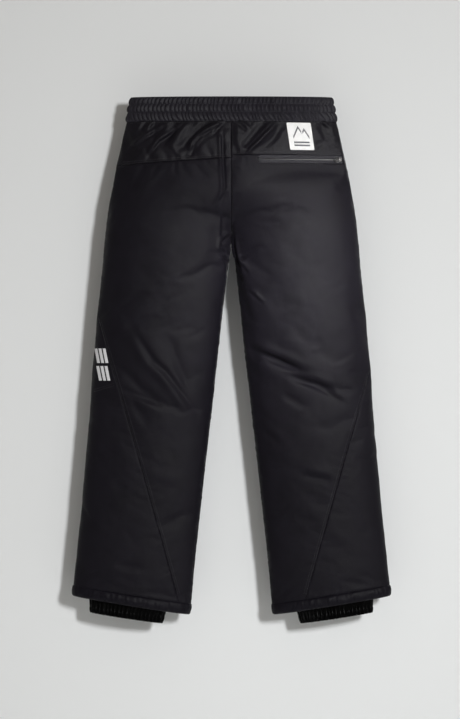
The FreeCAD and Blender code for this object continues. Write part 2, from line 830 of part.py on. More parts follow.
def main():
    os.makedirs("parts", exist_ok=True)
    rear = spot_zip(1, REAR_SPOT, REAR_ZIP)
    hand = {side: spot_zip(side, HAND_SPOT, HAND_ZIP) for side in (-1, 1)}
    fly = fly_zip()
    tab = tab_frame()
    build_zip("rear", {"": rear}, "ring_pull")
    build_zip("hand", {"_left": hand[-1], "_right": hand[1]}, "tab_pull")
    build_zip("fly", {"": fly}, "tab_pull")
    save("zip_stops", *[s for closure in (rear, hand[-1], hand[1], fly) for s in closure.stops()])

    rear_window = rear.window(REAR_WINDOW)
    fly_window = fly.window(FLY_WINDOW, OPEN_ENDS)
    fly_slot = fly.window(FLY_SLOT, OPEN_ENDS)
    for side, name in ((-1, "left"), (1, "right")):
        hand_window = hand[side].window(HAND_WINDOW)
        save("yoke_back_" + name, yoke(side))
        save("seat_back_" + name, seat(side).cut(rear_window).Solids[0] if side > 0 else seat(side))
        save("front_" + name, front(side).cut(hand_window).cut(fly_window).Solids[0])
        save("side_panel_" + name, thigh_side(side))
        save("knee_section_" + name, *knee(side))
        save("calf_back_" + name, calf(side, back_span))
        save("calf_side_" + name, calf(side, side_span))
        save("calf_front_" + name, calf(side, front_span))
        save("hem_band_" + name, hem_band(side))
        save("gaiter_" + name, gaiter_ring(side, (0.0, 1.0), (0.0, GAITER_WALL)))
        save("gaiter_elastic_" + name, gaiter_elastic(side))
        slots = [hand[side].window(HAND_WINDOW, SLOT_ENDS), fly_slot]
        if side > 0:
            slots.append(rear.window(REAR_WINDOW, OPEN_ENDS))
        save("insulation_" + name, inner_layer(side, INSULATION, slots))
        save("lining_" + name, inner_layer(side, LINING, [fly_slot]))
        bag = quad_sheet(side, POCKET_BAG, HAND_BAG, True, BAG_GRID)
        save("hand_pocket_bag_" + name, bag)

    save("rear_pocket_bag", quad_sheet(1, POCKET_BAG, REAR_BAG, False, BAG_GRID))
    save("waistband", band(BAND_CASING, WAIST_SEAM_Z + SEAM_GAP, WAIST_TOP_Z))
    save("waist_elastic", band(BAND_ELASTIC, *ELASTIC_SPAN))
    save("waistband_facing", band(BAND_FACING, *FACING_SPAN))
    save("fly_shield", *[quad_sheet(side, FLY_SHIELD, SHIELD, True) for side in (-1, 1)])
    save("label_patch", quad_sheet(1, LABEL, LABEL_CORNERS))
    save("label_mark", *label_mark())
    save("leg_print", *leg_print())
    save("waist_tab", waist_tab(tab))
    save("waist_tab_anchor", waist_tab_anchor(tab))
    save("snap_stud", snap_stud(tab))
    save("snap_socket", snap_socket(tab))
    save("snap_cap", snap_cap(tab))


if __name__ == "__main__":
    main()
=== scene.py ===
"""Looks of the ski pants: cloth panels, waistband, padded hems, gaiters, trims and a pale studio."""
import json
import math

import bmesh
import bpy
import numpy as np
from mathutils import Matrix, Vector, noise
from mathutils.bvhtree import BVHTree

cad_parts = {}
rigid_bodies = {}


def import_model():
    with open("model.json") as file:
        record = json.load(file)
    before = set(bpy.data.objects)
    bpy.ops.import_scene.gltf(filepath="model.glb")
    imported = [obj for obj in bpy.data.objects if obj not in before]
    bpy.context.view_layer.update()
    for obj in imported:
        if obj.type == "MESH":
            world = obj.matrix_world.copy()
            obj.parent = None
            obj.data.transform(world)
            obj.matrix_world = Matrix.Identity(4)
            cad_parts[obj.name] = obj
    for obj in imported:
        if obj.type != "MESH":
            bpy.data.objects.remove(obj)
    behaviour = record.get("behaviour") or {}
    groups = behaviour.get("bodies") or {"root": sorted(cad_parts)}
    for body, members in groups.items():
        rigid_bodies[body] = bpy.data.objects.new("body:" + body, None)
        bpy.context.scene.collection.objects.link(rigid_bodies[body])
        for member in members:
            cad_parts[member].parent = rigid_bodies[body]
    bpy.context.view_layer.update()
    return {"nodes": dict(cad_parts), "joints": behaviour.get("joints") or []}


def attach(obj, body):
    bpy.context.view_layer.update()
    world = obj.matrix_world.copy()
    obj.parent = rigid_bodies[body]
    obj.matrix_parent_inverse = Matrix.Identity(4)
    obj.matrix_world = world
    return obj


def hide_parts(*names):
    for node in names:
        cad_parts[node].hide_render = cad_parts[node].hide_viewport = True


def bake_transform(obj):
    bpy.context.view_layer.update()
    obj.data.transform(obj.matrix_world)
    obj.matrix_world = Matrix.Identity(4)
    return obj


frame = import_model()
SIDES = {"left": -1, "right": 1}
MM = 0.001

# ---- the skin: the same section as the CAD, in metres ---------------------------------------------
# Points are (x, z); x is the distance from the centre, so one description serves both sides.
HEM_INNER, HEM_OUTER = (0.083, 0.018), (0.319, 0.056)
CROTCH_Z, SEAT_Z, HIP_Z, SEAM_Z = 0.757, 0.870, 0.767, 1.004
JOINTS = {j["name"]: j for j in frame["joints"]}
HIP_X, SEAM_X = 0.256, 0.210
CROTCH_Y, HEM_Y, BAND_Y = 0.048, 0.033, 0.030
# Each zip lies flat: its low and high ends, then y at the first and the slope of y along x and z.
FLAT = {
    "rear": ((0.056, 0.927), (0.2145, 0.927), (-0.0385, 0.147, 0.13)),
    "hand": ((0.188, 0.845), (0.130, 0.975), (0.0304, -0.1725, -0.103)),
}


def smooth(t):
    t = np.clip(t, 0.0, 1.0)
    return t * t * (3 - 2 * t)


def bump(t):
    return np.exp(-(t**2))


def hermite(z, a, b, slopes):
    span = b[0] - a[0]
    t = (z - a[0]) / span
    rise = 3 * t**2 - 2 * t**3
    bow = (t**3 - 2 * t**2 + t) * slopes[0] + (t**3 - t**2) * slopes[1]
    return (1 - rise) * a[1] + rise * b[1] + span * bow


def outer_x(z):
    slope = (HIP_X - HEM_OUTER[0]) / (HIP_Z - HEM_OUTER[1])
    leg = HIP_X + (z - HIP_Z) * slope
    hip = hermite(z, (HIP_Z, HIP_X), (SEAM_Z, SEAM_X), (slope, -0.23))
    band = SEAM_X - (z - SEAM_Z) * 0.1875
    return np.where(z <= HIP_Z, leg, np.where(z <= SEAM_Z, hip, band))


def inner_x(z):
    return np.maximum(0.0, CROTCH_Z - z) * (HEM_INNER[0] / (CROTCH_Z - HEM_INNER[1]))


def depth(z):
    slope = (CROTCH_Y - HEM_Y) / (CROTCH_Z - HEM_INNER[1])
    leg = CROTCH_Y + (z - CROTCH_Z) * slope
    seat = hermite(z, (CROTCH_Z, CROTCH_Y), (SEAT_Z, 0.04742), (slope, -0.13))
    return np.where(z <= CROTCH_Z, leg, np.where(z <= SEAT_Z, seat, BAND_Y - (z - SEAM_Z) * 0.13))


def hip_share(z):
    return smooth((z - CROTCH_Z) / (SEAT_Z - CROTCH_Z))


def spot(kind, x, z):
    """(share, y) of the flat place beside a zip."""
    (x0, z0), (x1, z1), (y0, sx, sz) = FLAT[kind]
    length = math.hypot(x1 - x0, z1 - z0)
    cos, sin = (x1 - x0) / length, (z1 - z0) / length
    along = (x - x0) * cos + (z - z0) * sin
    across = np.abs((z - z0) * cos - (x - x0) * sin)
    beyond = np.maximum(-along, along - length) - 0.009
    past = x - outer_x(z) + 0.004
    share = (1 - smooth((across - 0.014) / 0.046)) * (1 - smooth(beyond / 0.035)) * (1 - smooth(past / 0.004))
    return share, y0 + sx * (x - x0) + sz * (z - z0)


def skin(side, front, across, z, inset=0.0):
    """Points of the skin; across runs 0 to 1 from the inner to the outer seam. All but side are arrays."""
    across, z, front = np.broadcast_arrays(np.asarray(across, float), np.asarray(z, float), front)
    w, d = hip_share(z), depth(z)
    s = 2 * across / np.maximum(w + np.sqrt(w**2 + 4 * (1 - w) * across), 1e-9)
    s = np.clip(s, 0, 1)
    y = d * np.sqrt(1 - s**2) * (2 * (1 - w) * s + w)
    x = inner_x(z) + across * (outer_x(z) - inner_x(z))
    y = np.where(front, y, -y)
    share, flat = spot("hand", x, z)
    y = np.where(front, y + share * (flat - y), y)
    if side > 0:
        share, flat = spot("rear", x, z)
        y = np.where(front, y, y + share * (flat - y))
    x = x - inset * (across - (1 - w) * (1 - across))
    return np.stack([side * x, y * (1 - inset / d), z], -1)


def skin_x(side, front, x, z, inset=0.0):
    x, z = np.asarray(x, float), np.asarray(z, float)
    across = np.clip((x - inner_x(z)) / (outer_x(z) - inner_x(z)), 0, 1)
    return skin(side, front, across, z, inset)


def skin_normal(side, front, x, z):
    h = 0.001
    a = skin_x(side, front, x + h, z) - skin_x(side, front, x - h, z)
    b = skin_x(side, front, x, z + h) - skin_x(side, front, x, z - h)
    n = np.cross(a, b) * side * (-1 if front else 1)
    return n / np.maximum(np.linalg.norm(n, axis=-1, keepdims=True), 1e-9)


def turn_point(side, angle, z, inset=0.0):
    """Skin by angle: 0 inner or centre back, pi outseam, 2 pi inner or centre front."""
    angle = np.mod(angle, 2 * math.pi)
    w = hip_share(np.asarray(z, float))
    s = np.sin(angle / 2)
    return skin(side, angle > math.pi, (1 - w) * s**2 + w * s, z, inset)


def hem_line(x):
    return HEM_INNER[1] + (x - HEM_INNER[0]) * (HEM_OUTER[1] - HEM_INNER[1]) / (HEM_OUTER[0] - HEM_INNER[0])


# ---- mesh helpers ---------------------------------------------------------------------------------
def new_object(name, verts, faces, material=None, smooth_shade=True):
    mesh = bpy.data.meshes.new(name)
    mesh.from_pydata([tuple(v) for v in verts], [], [tuple(f) for f in faces])
    mesh.update()
    obj = bpy.data.objects.new(name, mesh)
    bpy.context.scene.collection.objects.link(obj)
    if smooth_shade:
        mesh.polygons.foreach_set("use_smooth", [True] * len(mesh.polygons))
    if material:
        mesh.materials.append(material)
    return obj


def grid_faces(rows, cols, close_rows=False, close_cols=False, start=0):
    faces = []
    for i in range(rows if close_rows else rows - 1):
        for j in range(cols if close_cols else cols - 1):
            a, b = i * cols + j, i * cols + (j + 1) % cols
            c, d = ((i + 1) % rows) * cols + (j + 1) % cols, ((i + 1) % rows) * cols + j
            faces.append((start + a, start + b, start + c, start + d))
    return faces


def coords(obj):
    out = np.empty(len(obj.data.vertices) * 3)
    obj.data.vertices.foreach_get("co", out)
    return out.reshape(-1, 3)


def set_coords(obj, points):
    obj.data.vertices.foreach_set("co", np.asarray(points).ravel())
    obj.data.update()


def normals(obj):
    out = np.empty(len(obj.data.vertices) * 3)
    obj.data.vertices.foreach_get("normal", out)
    return out.reshape(-1, 3)


def reach_along(points):
    """Distance along a polyline at each of its points."""
    return np.concatenate([[0], np.cumsum(np.linalg.norm(np.diff(points, axis=0), axis=1))])


def ripple(s, rate, row, layer):
    """Smooth noise along distances s; row and layer pick the strand of noise."""
    return np.array([noise.noise(Vector((v * rate, row, layer))) for v in s.ravel()]).reshape(s.shape)


def fractal(points, scale, seed, octaves=2):
    """Smooth noise about -1 to 1 at each point."""
    shift = Vector((seed * 3.7, seed * 1.3, seed * 7.1))
    return np.array([noise.fractal(Vector(p) * scale + shift, 0.8, 2.0, octaves) for p in points])


def apply_modifiers(obj):
    deps = bpy.context.evaluated_depsgraph_get()
    mesh = bpy.data.meshes.new_from_object(obj.evaluated_get(deps))
    old = obj.data
    obj.modifiers.clear()
    obj.data = mesh
    bpy.data.meshes.remove(old)


def subdivide(obj, levels=1):
    mod = obj.modifiers.new("smooth", "SUBSURF")
    mod.levels = mod.render_levels = levels
    mod.boundary_smooth = "PRESERVE_CORNERS"
    apply_modifiers(obj)


def thicken(obj, amount, offset=-1.0):
    mod = obj.modifiers.new("thick", "SOLIDIFY")
    mod.thickness = amount
    mod.offset = offset
    apply_modifiers(obj)


def fasten(piece, nodes=(), slot=None, body="garment", knee=None):
    """Fixes a piece to its body, or with a knee given only bakes its placement, in place of the CAD nodes,
    which it hides.
    """
    if knee:
        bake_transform(piece)
    else:
        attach(piece, body)
    if nodes:
        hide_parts(*nodes)


# ---- materials ------------------------------------------------------------------------------------
def node_material(name):
    mat = bpy.data.materials.new(name)
    mat.use_nodes = True
    nodes, links = mat.node_tree.nodes, mat.node_tree.links
    return mat, nodes, links, nodes["Principled BSDF"]


def add(nodes, kind, **values):
    node = nodes.new(kind)
    for key, value in values.items():
        if key in node.inputs:
            node.inputs[key].default_value = value
        else:
            setattr(node, key, value)
    return node


def math_node(nodes, links, operation, *values):
    node = add(nodes, "ShaderNodeMath", operation=operation)
    for socket, value in zip(node.inputs, values):
        if isinstance(value, (int, float)):
            socket.default_value = value
        else:
            links.new(value, socket)
    return node.outputs[0]


def fabric(name, color, pitch=0.55, weave=0.25, rough=0.72, sheen=0.25, vary=0.18, crease=0.12, spec=0.3):
    """Plain weave with slight unevenness: pitch is the thread spacing in mm."""
    mat, nodes, links, bsdf = node_material(name)
    place = add(nodes, "ShaderNodeTexCoord").outputs["Object"]
    split = nodes.new("ShaderNodeSeparateXYZ")
    links.new(place, split.inputs[0])
    turn = 2 * math.pi / (pitch * MM)
    slant = math_node(nodes, links, "ADD", split.outputs["X"], split.outputs["Y"])
    warp = math_node(nodes, links, "SINE", math_node(nodes, links, "MULTIPLY", slant, turn), 0)
    weft = math_node(nodes, links, "SINE", math_node(nodes, links, "MULTIPLY", split.outputs["Z"], turn), 0)
    threads = math_node(nodes, links, "MULTIPLY", warp, weft)
    fine = add(nodes, "ShaderNodeTexNoise", Scale=900.0, Detail=3.0)
    broad = add(nodes, "ShaderNodeTexNoise", Scale=22.0, Detail=5.0, Roughness=0.6)
    crumple = add(nodes, "ShaderNodeTexNoise", Scale=70.0, Detail=4.0, Roughness=0.55)
    for tex in (fine, broad, crumple):
        links.new(place, tex.inputs["Vector"])
    ramp = nodes.new("ShaderNodeValToRGB")
    for stop, at, change in zip(ramp.color_ramp.elements, (0.3, 0.72), (1 - vary, 1 + vary)):
        stop.position = at
        stop.color = (*[c * change for c in color], 1)
    links.new(broad.outputs["Fac"], ramp.inputs[0])
    shade = math_node(nodes, links, "MULTIPLY_ADD", threads, 0.12, 1.0)
    tint = add(nodes, "ShaderNodeVectorMath", operation="SCALE")
    links.new(ramp.outputs[0], tint.inputs[0])
    links.new(shade, tint.inputs["Scale"])
    links.new(tint.outputs[0], bsdf.inputs["Base Color"])
    gloss = math_node(nodes, links, "MULTIPLY_ADD", broad.outputs["Fac"], 0.2, rough - 0.1)
    links.new(gloss, bsdf.inputs["Roughness"])
    fuzz = math_node(nodes, links, "MULTIPLY", fine.outputs["Fac"], 0.8)
    height = math_node(nodes, links, "ADD", threads, fuzz)
    small = add(nodes, "ShaderNodeBump", Strength=weave, Distance=0.00012)
    links.new(height, small.inputs["Height"])
    large = add(nodes, "ShaderNodeBump", Strength=crease, Distance=0.004)
    links.new(crumple.outputs["Fac"], large.inputs["Height"])
    links.new(small.outputs[0], large.inputs["Normal"])
    links.new(large.outputs[0], bsdf.inputs["Normal"])
    bsdf.inputs["Sheen Weight"].default_value = sheen
    bsdf.inputs["Sheen Roughness"].default_value = 0.5
    bsdf.inputs["Specular IOR Level"].default_value = spec
    return mat


def hard(name, color, metallic=0.0, rough=0.4, wear=0.15, scale=400.0, coat=0.0, spec=0.5):
    """Moulded or plated part: uneven gloss, fine bump and edges rubbed lighter."""
    mat, nodes, links, bsdf = node_material(name)
    place = add(nodes, "ShaderNodeTexCoord").outputs["Object"]
    tex = add(nodes, "ShaderNodeTexNoise", Scale=scale, Detail=4.0)
    links.new(place, tex.inputs["Vector"])
    edge = nodes.new("ShaderNodeNewGeometry")
    rub = nodes.new("ShaderNodeMapRange")
    rub.inputs["From Min"].default_value, rub.inputs["From Max"].default_value = 0.52, 0.62
    rub.inputs["To Max"].default_value = wear
    links.new(edge.outputs["Pointiness"], rub.inputs["Value"])
    mix = add(nodes, "ShaderNodeMix", data_type="RGBA")
    mix.inputs[6].default_value = (*color, 1)
    mix.inputs[7].default_value = (*[min(1, c * 1.6 + 0.12) for c in color], 1)
    links.new(rub.outputs[0], mix.inputs[0])
    links.new(mix.outputs[2], bsdf.inputs["Base Color"])
    gloss = math_node(nodes, links, "MULTIPLY_ADD", tex.outputs["Fac"], 0.25, rough - 0.12)
    links.new(gloss, bsdf.inputs["Roughness"])
    bump = add(nodes, "ShaderNodeBump", Strength=0.15, Distance=0.0002)
    links.new(tex.outputs["Fac"], bump.inputs["Height"])
    links.new(bump.outputs[0], bsdf.inputs["Normal"])
    bsdf.inputs["Metallic"].default_value = metallic
    bsdf.inputs["Specular IOR Level"].default_value = spec
    bsdf.inputs["Coat Weight"].default_value = coat
    return mat


SHELL = fabric("shell_weave", (0.0064, 0.0055, 0.0086), rough=0.54, sheen=0.012, spec=0.11)
YOKE = fabric("yoke_weave", (0.0062, 0.0053, 0.0082), rough=0.46, sheen=0.012, crease=0.15, spec=0.14)
BAND = fabric("band_weave", (0.0125, 0.0112, 0.0165), rough=0.50, sheen=0.02, crease=0.10, spec=0.20)
HEM = fabric("hem_weave", (0.0058, 0.0050, 0.0080), rough=0.46, sheen=0.012, crease=0.15, spec=0.09)
GAITER = fabric("gaiter_coated", (0.0010, 0.0010, 0.0011), rough=0.26, weave=0.12, sheen=0.0, spec=0.05)
FACING = fabric("facing_brushed", (0.030, 0.030, 0.033), pitch=0.9, rough=0.9, sheen=0.6)
LINING = fabric("lining_taffeta", (0.045, 0.045, 0.050), pitch=0.4, rough=0.5, weave=0.15)
WADDING = fabric("wadding_fibre", (0.62, 0.62, 0.60), pitch=2.2, rough=0.95, weave=0.6, sheen=0.8)
POCKET = fabric("pocket_tricot", (0.040, 0.040, 0.043), pitch=0.9, rough=0.9, sheen=0.5)
ELASTIC = fabric("elastic_webbing", (0.02, 0.02, 0.02), pitch=1.6, rough=0.8, weave=0.6)
TAPE = fabric("zip_tape_laminate", (0.031, 0.030, 0.035), 0.7, 0.12, 0.60, 0.02, vary=0.08, spec=0.10)
THREAD = fabric("stitch_thread", (0.013, 0.012, 0.015), pitch=0.3, rough=0.5, weave=0.5, spec=0.4)
LABEL = hard("label_moulded", (0.80, 0.80, 0.79), rough=0.55, wear=0.05)
INK = hard("label_ink", (0.10, 0.10, 0.11), rough=0.5, wear=0.05)
PRINT = hard("print_transfer", (0.72, 0.72, 0.74), rough=0.45, wear=0.02, scale=900.0)
GUNMETAL = hard("gunmetal", (0.050, 0.048, 0.047), metallic=1.0, rough=0.46, wear=0.15)
PULL = hard("pull_black", (0.012, 0.012, 0.013), metallic=0.2, rough=0.38, wear=0.3, coat=0.3)
COIL = hard("coil_nylon", (0.010, 0.010, 0.011), rough=0.5, wear=0.05, spec=0.08)

# ---- sewn panels ----------------------------------------------------------------------------------
STEP = 0.005
SIDE_SEAM = {("left", False): 0.615, ("left", True): 0.508, ("right", False): 0.508, ("right", True): 0.615}
SIDE_SLOPE = 1.57
YOKE_SEAM = {"left": ((0.0, 0.930), (0.2282, 0.9158)), "right": ((0.0, 0.9355), (0.2262, 0.9355))}
WINDOW = 0.0078
REAR_TOP = 0.9353
FLY_HALF, FLY_Z = 0.0055, 0.866
HEM_SEAM = 0.0205
PANELS = ["yoke", "leg_back", "leg_side", "leg_front"]


def side_seam_x(side, front, z):
    across = 1 - SIDE_SLOPE * (SIDE_SEAM[side, front] - z)
    return inner_x(z) + across * (outer_x(z) - inner_x(z))


def even_columns(z, count):
    """Fractions across the half section at heights z that are evenly spaced along its arc."""
    s = np.sin(np.linspace(0, math.pi / 2, 160))
    w = hip_share(z)[:, None]
    across = (1 - w) * s**2 + w * s
    x = inner_x(z)[:, None] + across * (outer_x(z) - inner_x(z))[:, None]
    y = depth(z)[:, None] * np.sqrt(1 - s**2) * (2 * (1 - w) * s + w)
    length = np.concatenate([np.zeros((len(z), 1)), np.cumsum(np.hypot(np.diff(x), np.diff(y)), 1)], 1)
    goal = np.linspace(0, 1, count)
    return np.array([np.interp(goal * l[-1], l, a) for l, a in zip(length, across)])


def cut(bm, co, direction, keep=None):
    """Cuts the flat mesh along a line through co; keep(centre) limits it to some faces."""
    faces = [f for f in bm.faces if keep is None or keep(f.calc_center_median())]
    geom = set(faces)
    for f in faces:
        geom.update(f.edges)
        geom.update(f.verts)
    normal = Vector((-direction[1], direction[0], 0)).normalized()
    bmesh.ops.bisect_plane(
        bm, geom=list(geom), plane_co=Vector((*co, 0)), plane_no=normal, dist=0.0011, use_snap_center=True
    )


def flat_panel(side, front):
    """Half of the back or front, flat in (x, z), with its seams and zip openings cut in."""
    count_up = int(1.0 / STEP)
    count_across = int(0.27 / STEP)
    v = np.linspace(0, 1, count_up)
    x = np.full((count_up, count_across), 0.15)
    z = np.zeros_like(x)
    for _ in range(4):
        low = hem_line(np.maximum(x, HEM_INNER[0])) + HEM_SEAM
        z = low * (1 - v[:, None]) + SEAM_Z * v[:, None]
        table = even_columns(v * (SEAM_Z - 0.055) + 0.055, count_across)
        x = inner_x(z) + table * (outer_x(z) - inner_x(z))
    bm = bmesh.new()
    verts = [bm.verts.new((a, b, 0)) for a, b in zip(x.ravel(), z.ravel())]
    for face in grid_faces(count_up, count_across):
        bm.faces.new([verts[i] for i in face])
    start = SIDE_SEAM[side, front]
    stops = np.linspace(0.03, start, 5)
    for low, high in zip(stops[:-1], stops[1:]):
        a, b = float(side_seam_x(side, front, low)), float(side_seam_x(side, front, high))

        def near(c, low=low, high=high, a=a, b=b):
            return low - 0.004 < c.y < high + 0.002 and min(a, b) - 0.02 < c.x < max(a, b) + 0.02

        cut(bm, (a, low), (b - a, high - low), near)
    if not front:
        (ax, az), (bx, bz) = YOKE_SEAM[side]
        cut(bm, (ax, az), (bx - ax, bz - az), lambda c: abs(c.y - az) < 0.03)
    holes = []
    if side == "right" and not front:
        x0, x1, z0 = 0.0530, 0.2222, 0.927
        cut(bm, (x0, z0 - WINDOW), (1, 0), lambda c: x0 - 0.02 < c.x and abs(c.y - z0) < 0.02)
        for x in (x0, x1):
            cut(bm, (x, z0), (0, 1), lambda c: abs(c.x - x) < 0.012 and abs(c.y - z0) < 0.0084)
        for s in (-1, 1):
            mitre = (1, s * 1.1)
            cut(bm, (x0, z0 + s * 0.003), mitre, lambda c: abs(c.x - x0) < 0.009 and abs(c.y - z0) < 0.0084)

        def in_rear_zip(c):
            tapered = abs(c.y - z0) < 0.003 + 1.1 * (c.x - x0) + 0.0002
            return x0 < c.x < x1 and z0 - WINDOW < c.y < REAR_TOP and tapered

        holes.append(in_rear_zip)
    if front:
        (ax, az), (bx, bz), _ = FLAT["hand"]
        length = math.hypot(bx - ax, bz - az)
        u = ((bx - ax) / length, (bz - az) / length)
        along = lambda c: (c.x - ax) * u[0] + (c.y - az) * u[1]
        off = lambda c: (c.y - az) * u[0] - (c.x - ax) * u[1]
        low, high = -0.003, length + 0.008
        for s in (-1, 1):
            co = (ax - s * WINDOW * u[1], az + s * WINDOW * u[0])
            cut(bm, co, u, lambda c: low - 0.006 < along(c) < high + 0.006 and abs(off(c)) < 0.016)
        for end in (low, high):
            co = (ax + end * u[0], az + end * u[1])
            cut(bm, co, (-u[1], u[0]), lambda c: abs(along(c) - end) < 0.012 and abs(off(c)) < 0.0092)
        holes.append(lambda c: low < along(c) < high and abs(off(c)) < WINDOW)
        cut(bm, (FLY_HALF, FLY_Z), (0, 1), lambda c: c.y > FLY_Z - 0.004 and c.x < 0.02)
        cut(bm, (0, FLY_Z), (1, 0), lambda c: abs(c.y - FLY_Z) < 0.012 and c.x < FLY_HALF + 0.0004)
        holes.append(lambda c: c.x < FLY_HALF and c.y > FLY_Z)
    layer = bm.faces.layers.int.new("panel")
    yoke = YOKE_SEAM[side]
    gone = []
    for f in bm.faces:
        c = f.calc_center_median()
        if any(hole(c) for hole in holes):
            gone.append(f)
        if c.y < start and c.x > side_seam_x(side, front, c.y):
            f[layer] = PANELS.index("leg_side")
        elif front:
            f[layer] = PANELS.index("leg_front")
        else:
            above = c.y > yoke[0][1] + (yoke[1][1] - yoke[0][1]) * c.x / yoke[1][0]
            f[layer] = PANELS.index("yoke" if above else "leg_back")
    bmesh.ops.delete(bm, geom=gone, context="FACES")
    bmesh.ops.triangulate(bm, faces=[f for f in bm.faces if len(f.verts) > 4])
    for f in bm.faces:
        f[layer] += 10 * (side == "right")
    flat = np.array([v.co for v in bm.verts])
    points = skin_x(SIDES[side], front, flat[:, 0], flat[:, 1])
    for vert, p in zip(bm.verts, points):
        vert.co = p
    if (side == "left") != front:
        bmesh.ops.reverse_faces(bm, faces=list(bm.faces))
    return bm


def whole_shell():
    """All four half panels welded along the outseams, inseams and centre seams."""
    merged = bmesh.new()
    merged.faces.layers.int.new("panel")
    for side in SIDES:
        for front in (False, True):
            part = flat_panel(side, front)
            mesh = bpy.data.meshes.new("part")
            part.to_mesh(mesh)
            merged.from_mesh(mesh)
            bpy.data.meshes.remove(mesh)
            part.free()
    bmesh.ops.remove_doubles(merged, verts=merged.verts, dist=0.0004)
    bmesh.ops.dissolve_degenerate(merged, edges=merged.edges, dist=0.0003)
    mesh = bpy.data.meshes.new("shell")
    merged.to_mesh(mesh)
    merged.free()
    obj = bpy.data.objects.new("shell", mesh)
    bpy.context.scene.collection.objects.link(obj)
    return obj


# ---- folds ----------------------------------------------------------------------------------------
# Long soft folds of a garment that hangs flat, by side and front:
# half width, height and a polyline in (x, z), in mm.
FOLDS = {
    ("left", False): [
        (16, 6.5, (195, 600), (150, 535), (80, 425)), (12, -6, (130, 590), (100, 500), (70, 415)),
        (10, -3, (225, 520), (180, 470), (130, 435)), (11, -3.2, (210, 480), (165, 385)),
        (12, -2.8, (235, 640), (200, 600), (170, 530)), (8, -3, (20, 985), (21, 915), (16, 850)),
        (6.5, 6, (20, 1003), (52, 980), (88, 945)), (7, -5.5, (46, 1002), (78, 972), (110, 940)),
        (7, 5.2, (86, 1003), (104, 974), (122, 945)), (6, -4.5, (108, 1002), (122, 974), (136, 950)),
        (6, 4, (122, 1003), (138, 975), (156, 948)), (6.5, -3.8, (146, 1002), (160, 970)),
        (6.5, 3.4, (160, 1003), (176, 968), (196, 945)), (14, 2.2, (200, 330), (150, 300), (100, 285)),
        (14, -2, (90, 230), (150, 180)), (45, 4, (215, 640), (160, 560), (110, 470)),
    ],
    ("right", False): [
        (19, 6, (30, 668), (90, 600), (150, 525), (250, 472)),
        (10, -5.8, (62, 535), (105, 520), (146, 504)), (9, -4, (115, 488), (165, 480), (210, 470)),
        (9, -3.2, (102, 460), (148, 430)), (12, 4, (32, 530), (70, 510), (105, 496)),
        (8, -4.5, (6, 750), (14, 670), (28, 590)), (7.5, 6, (86, 1003), (62, 975), (30, 938)),
        (7, -5.5, (66, 1002), (44, 975), (18, 945)), (7, -4, (104, 1000), (80, 965), (58, 945)),
        (5, 3.4, (10, 1002), (14, 965), (22, 925)), (7, -3.6, (174, 1002), (194, 962)),
        (13, -2.2, (250, 420), (200, 395), (150, 390)), (15, 2, (120, 250), (180, 215), (230, 160)),
        (11, -5, (20, 680), (36, 570), (50, 450), (70, 310)),
        (16, 7.5, (12, 738), (44, 680), (64, 610), (78, 500)), (55, 6, (60, 760), (130, 640), (215, 520)),
    ],
    ("left", True): [
        (18, 5, (40, 760), (110, 700), (180, 620)), (10, -4, (20, 720), (90, 650)),
        (15, 4.5, (220, 520), (150, 460), (90, 430)), (10, -3.5, (200, 480), (120, 420)),
    ],
    ("right", True): [
        (18, 5, (30, 770), (120, 710), (200, 660)), (11, -4.2, (30, 700), (100, 640), (160, 560)),
        (14, 4.2, (80, 440), (160, 470), (230, 520)), (10, -3.2, (100, 400), (190, 440)),
    ],
}


# Sharp creases, each a valley with a rounded ridge beside it, by side and front:
# depth and a polyline in (x, z), in mm.
CREASES = {
    ("left", False): [
        (3, (89, 1001), (119, 977), (143, 961), (167, 929)),
        (3.2, (11, 1001), (39, 985), (63, 971), (75, 957), (80, 935)),
        (2.2, (119, 999), (171, 969), (207, 941)), (2.2, (17, 997), (39, 973)),
        (1.8, (150, 1003), (168, 980)), (1.6, (170, 1003), (185, 984)),
        (3.6, (18, 985), (17, 930), (14, 870), (21, 834)), (2.2, (4, 864), (30, 838)),
        (2.6, (18, 819), (20, 770)), (3.4, (2, 778), (18, 764), (21, 744)), (2.8, (22, 756), (6, 737)),
        (2.2, (24, 742), (10, 724)), (4.2, (191, 581), (156, 525), (130, 503), (68, 420)),
        (3, (213, 469), (135, 435)), (2.2, (235, 120), (175, 112)),
    ],
    ("right", False): [
        (3.4, (85, 1001), (57, 973), (37, 953), (25, 937)), (2, (39, 932), (44, 905)),
        (2.2, (9, 1001), (33, 983)), (1.8, (173, 1003), (197, 985)), (3.4, (3, 780), (7, 745), (18, 700)),
        (2.4, (10, 728), (32, 700)), (2.4, (34, 664), (60, 640)), (5, (40, 548), (74, 534), (144, 503)),
        (4, (109, 499), (179, 473), (213, 461)), (3, (160, 490), (190, 462), (225, 440)),
        (3.4, (144, 297), (200, 288)), (2.2, (62, 387), (95, 360)),
    ],
}


def faced(points, side, front):
    """Which points are on one side's front or back, with the x and z of those."""
    pick = ((points[:, 0] > 0) == (side == "right")) & ((points[:, 1] > 0) == front)
    return pick, np.abs(points[pick, 0]), points[pick, 2]


def path_distance(x, z, line):
    """Distance to a polyline, and how far along it, from 0 to 1."""
    line = np.array(line)
    seg = np.hypot(*np.diff(line, axis=0).T)
    total, done = seg.sum(), 0.0
    best, where = np.full(len(x), 9.0), np.zeros(len(x))
    for (ax, az), (bx, bz), length in zip(line[:-1], line[1:], seg):
        t = np.clip(((x - ax) * (bx - ax) + (z - az) * (bz - az)) / length**2, 0, 1)
        d = np.hypot(x - ax - t * (bx - ax), z - az - t * (bz - az))
        near = d < best
        best = np.where(near, d, best)
        where = np.where(near, (done + t * length) / total, where)
        done += length
    return best, where


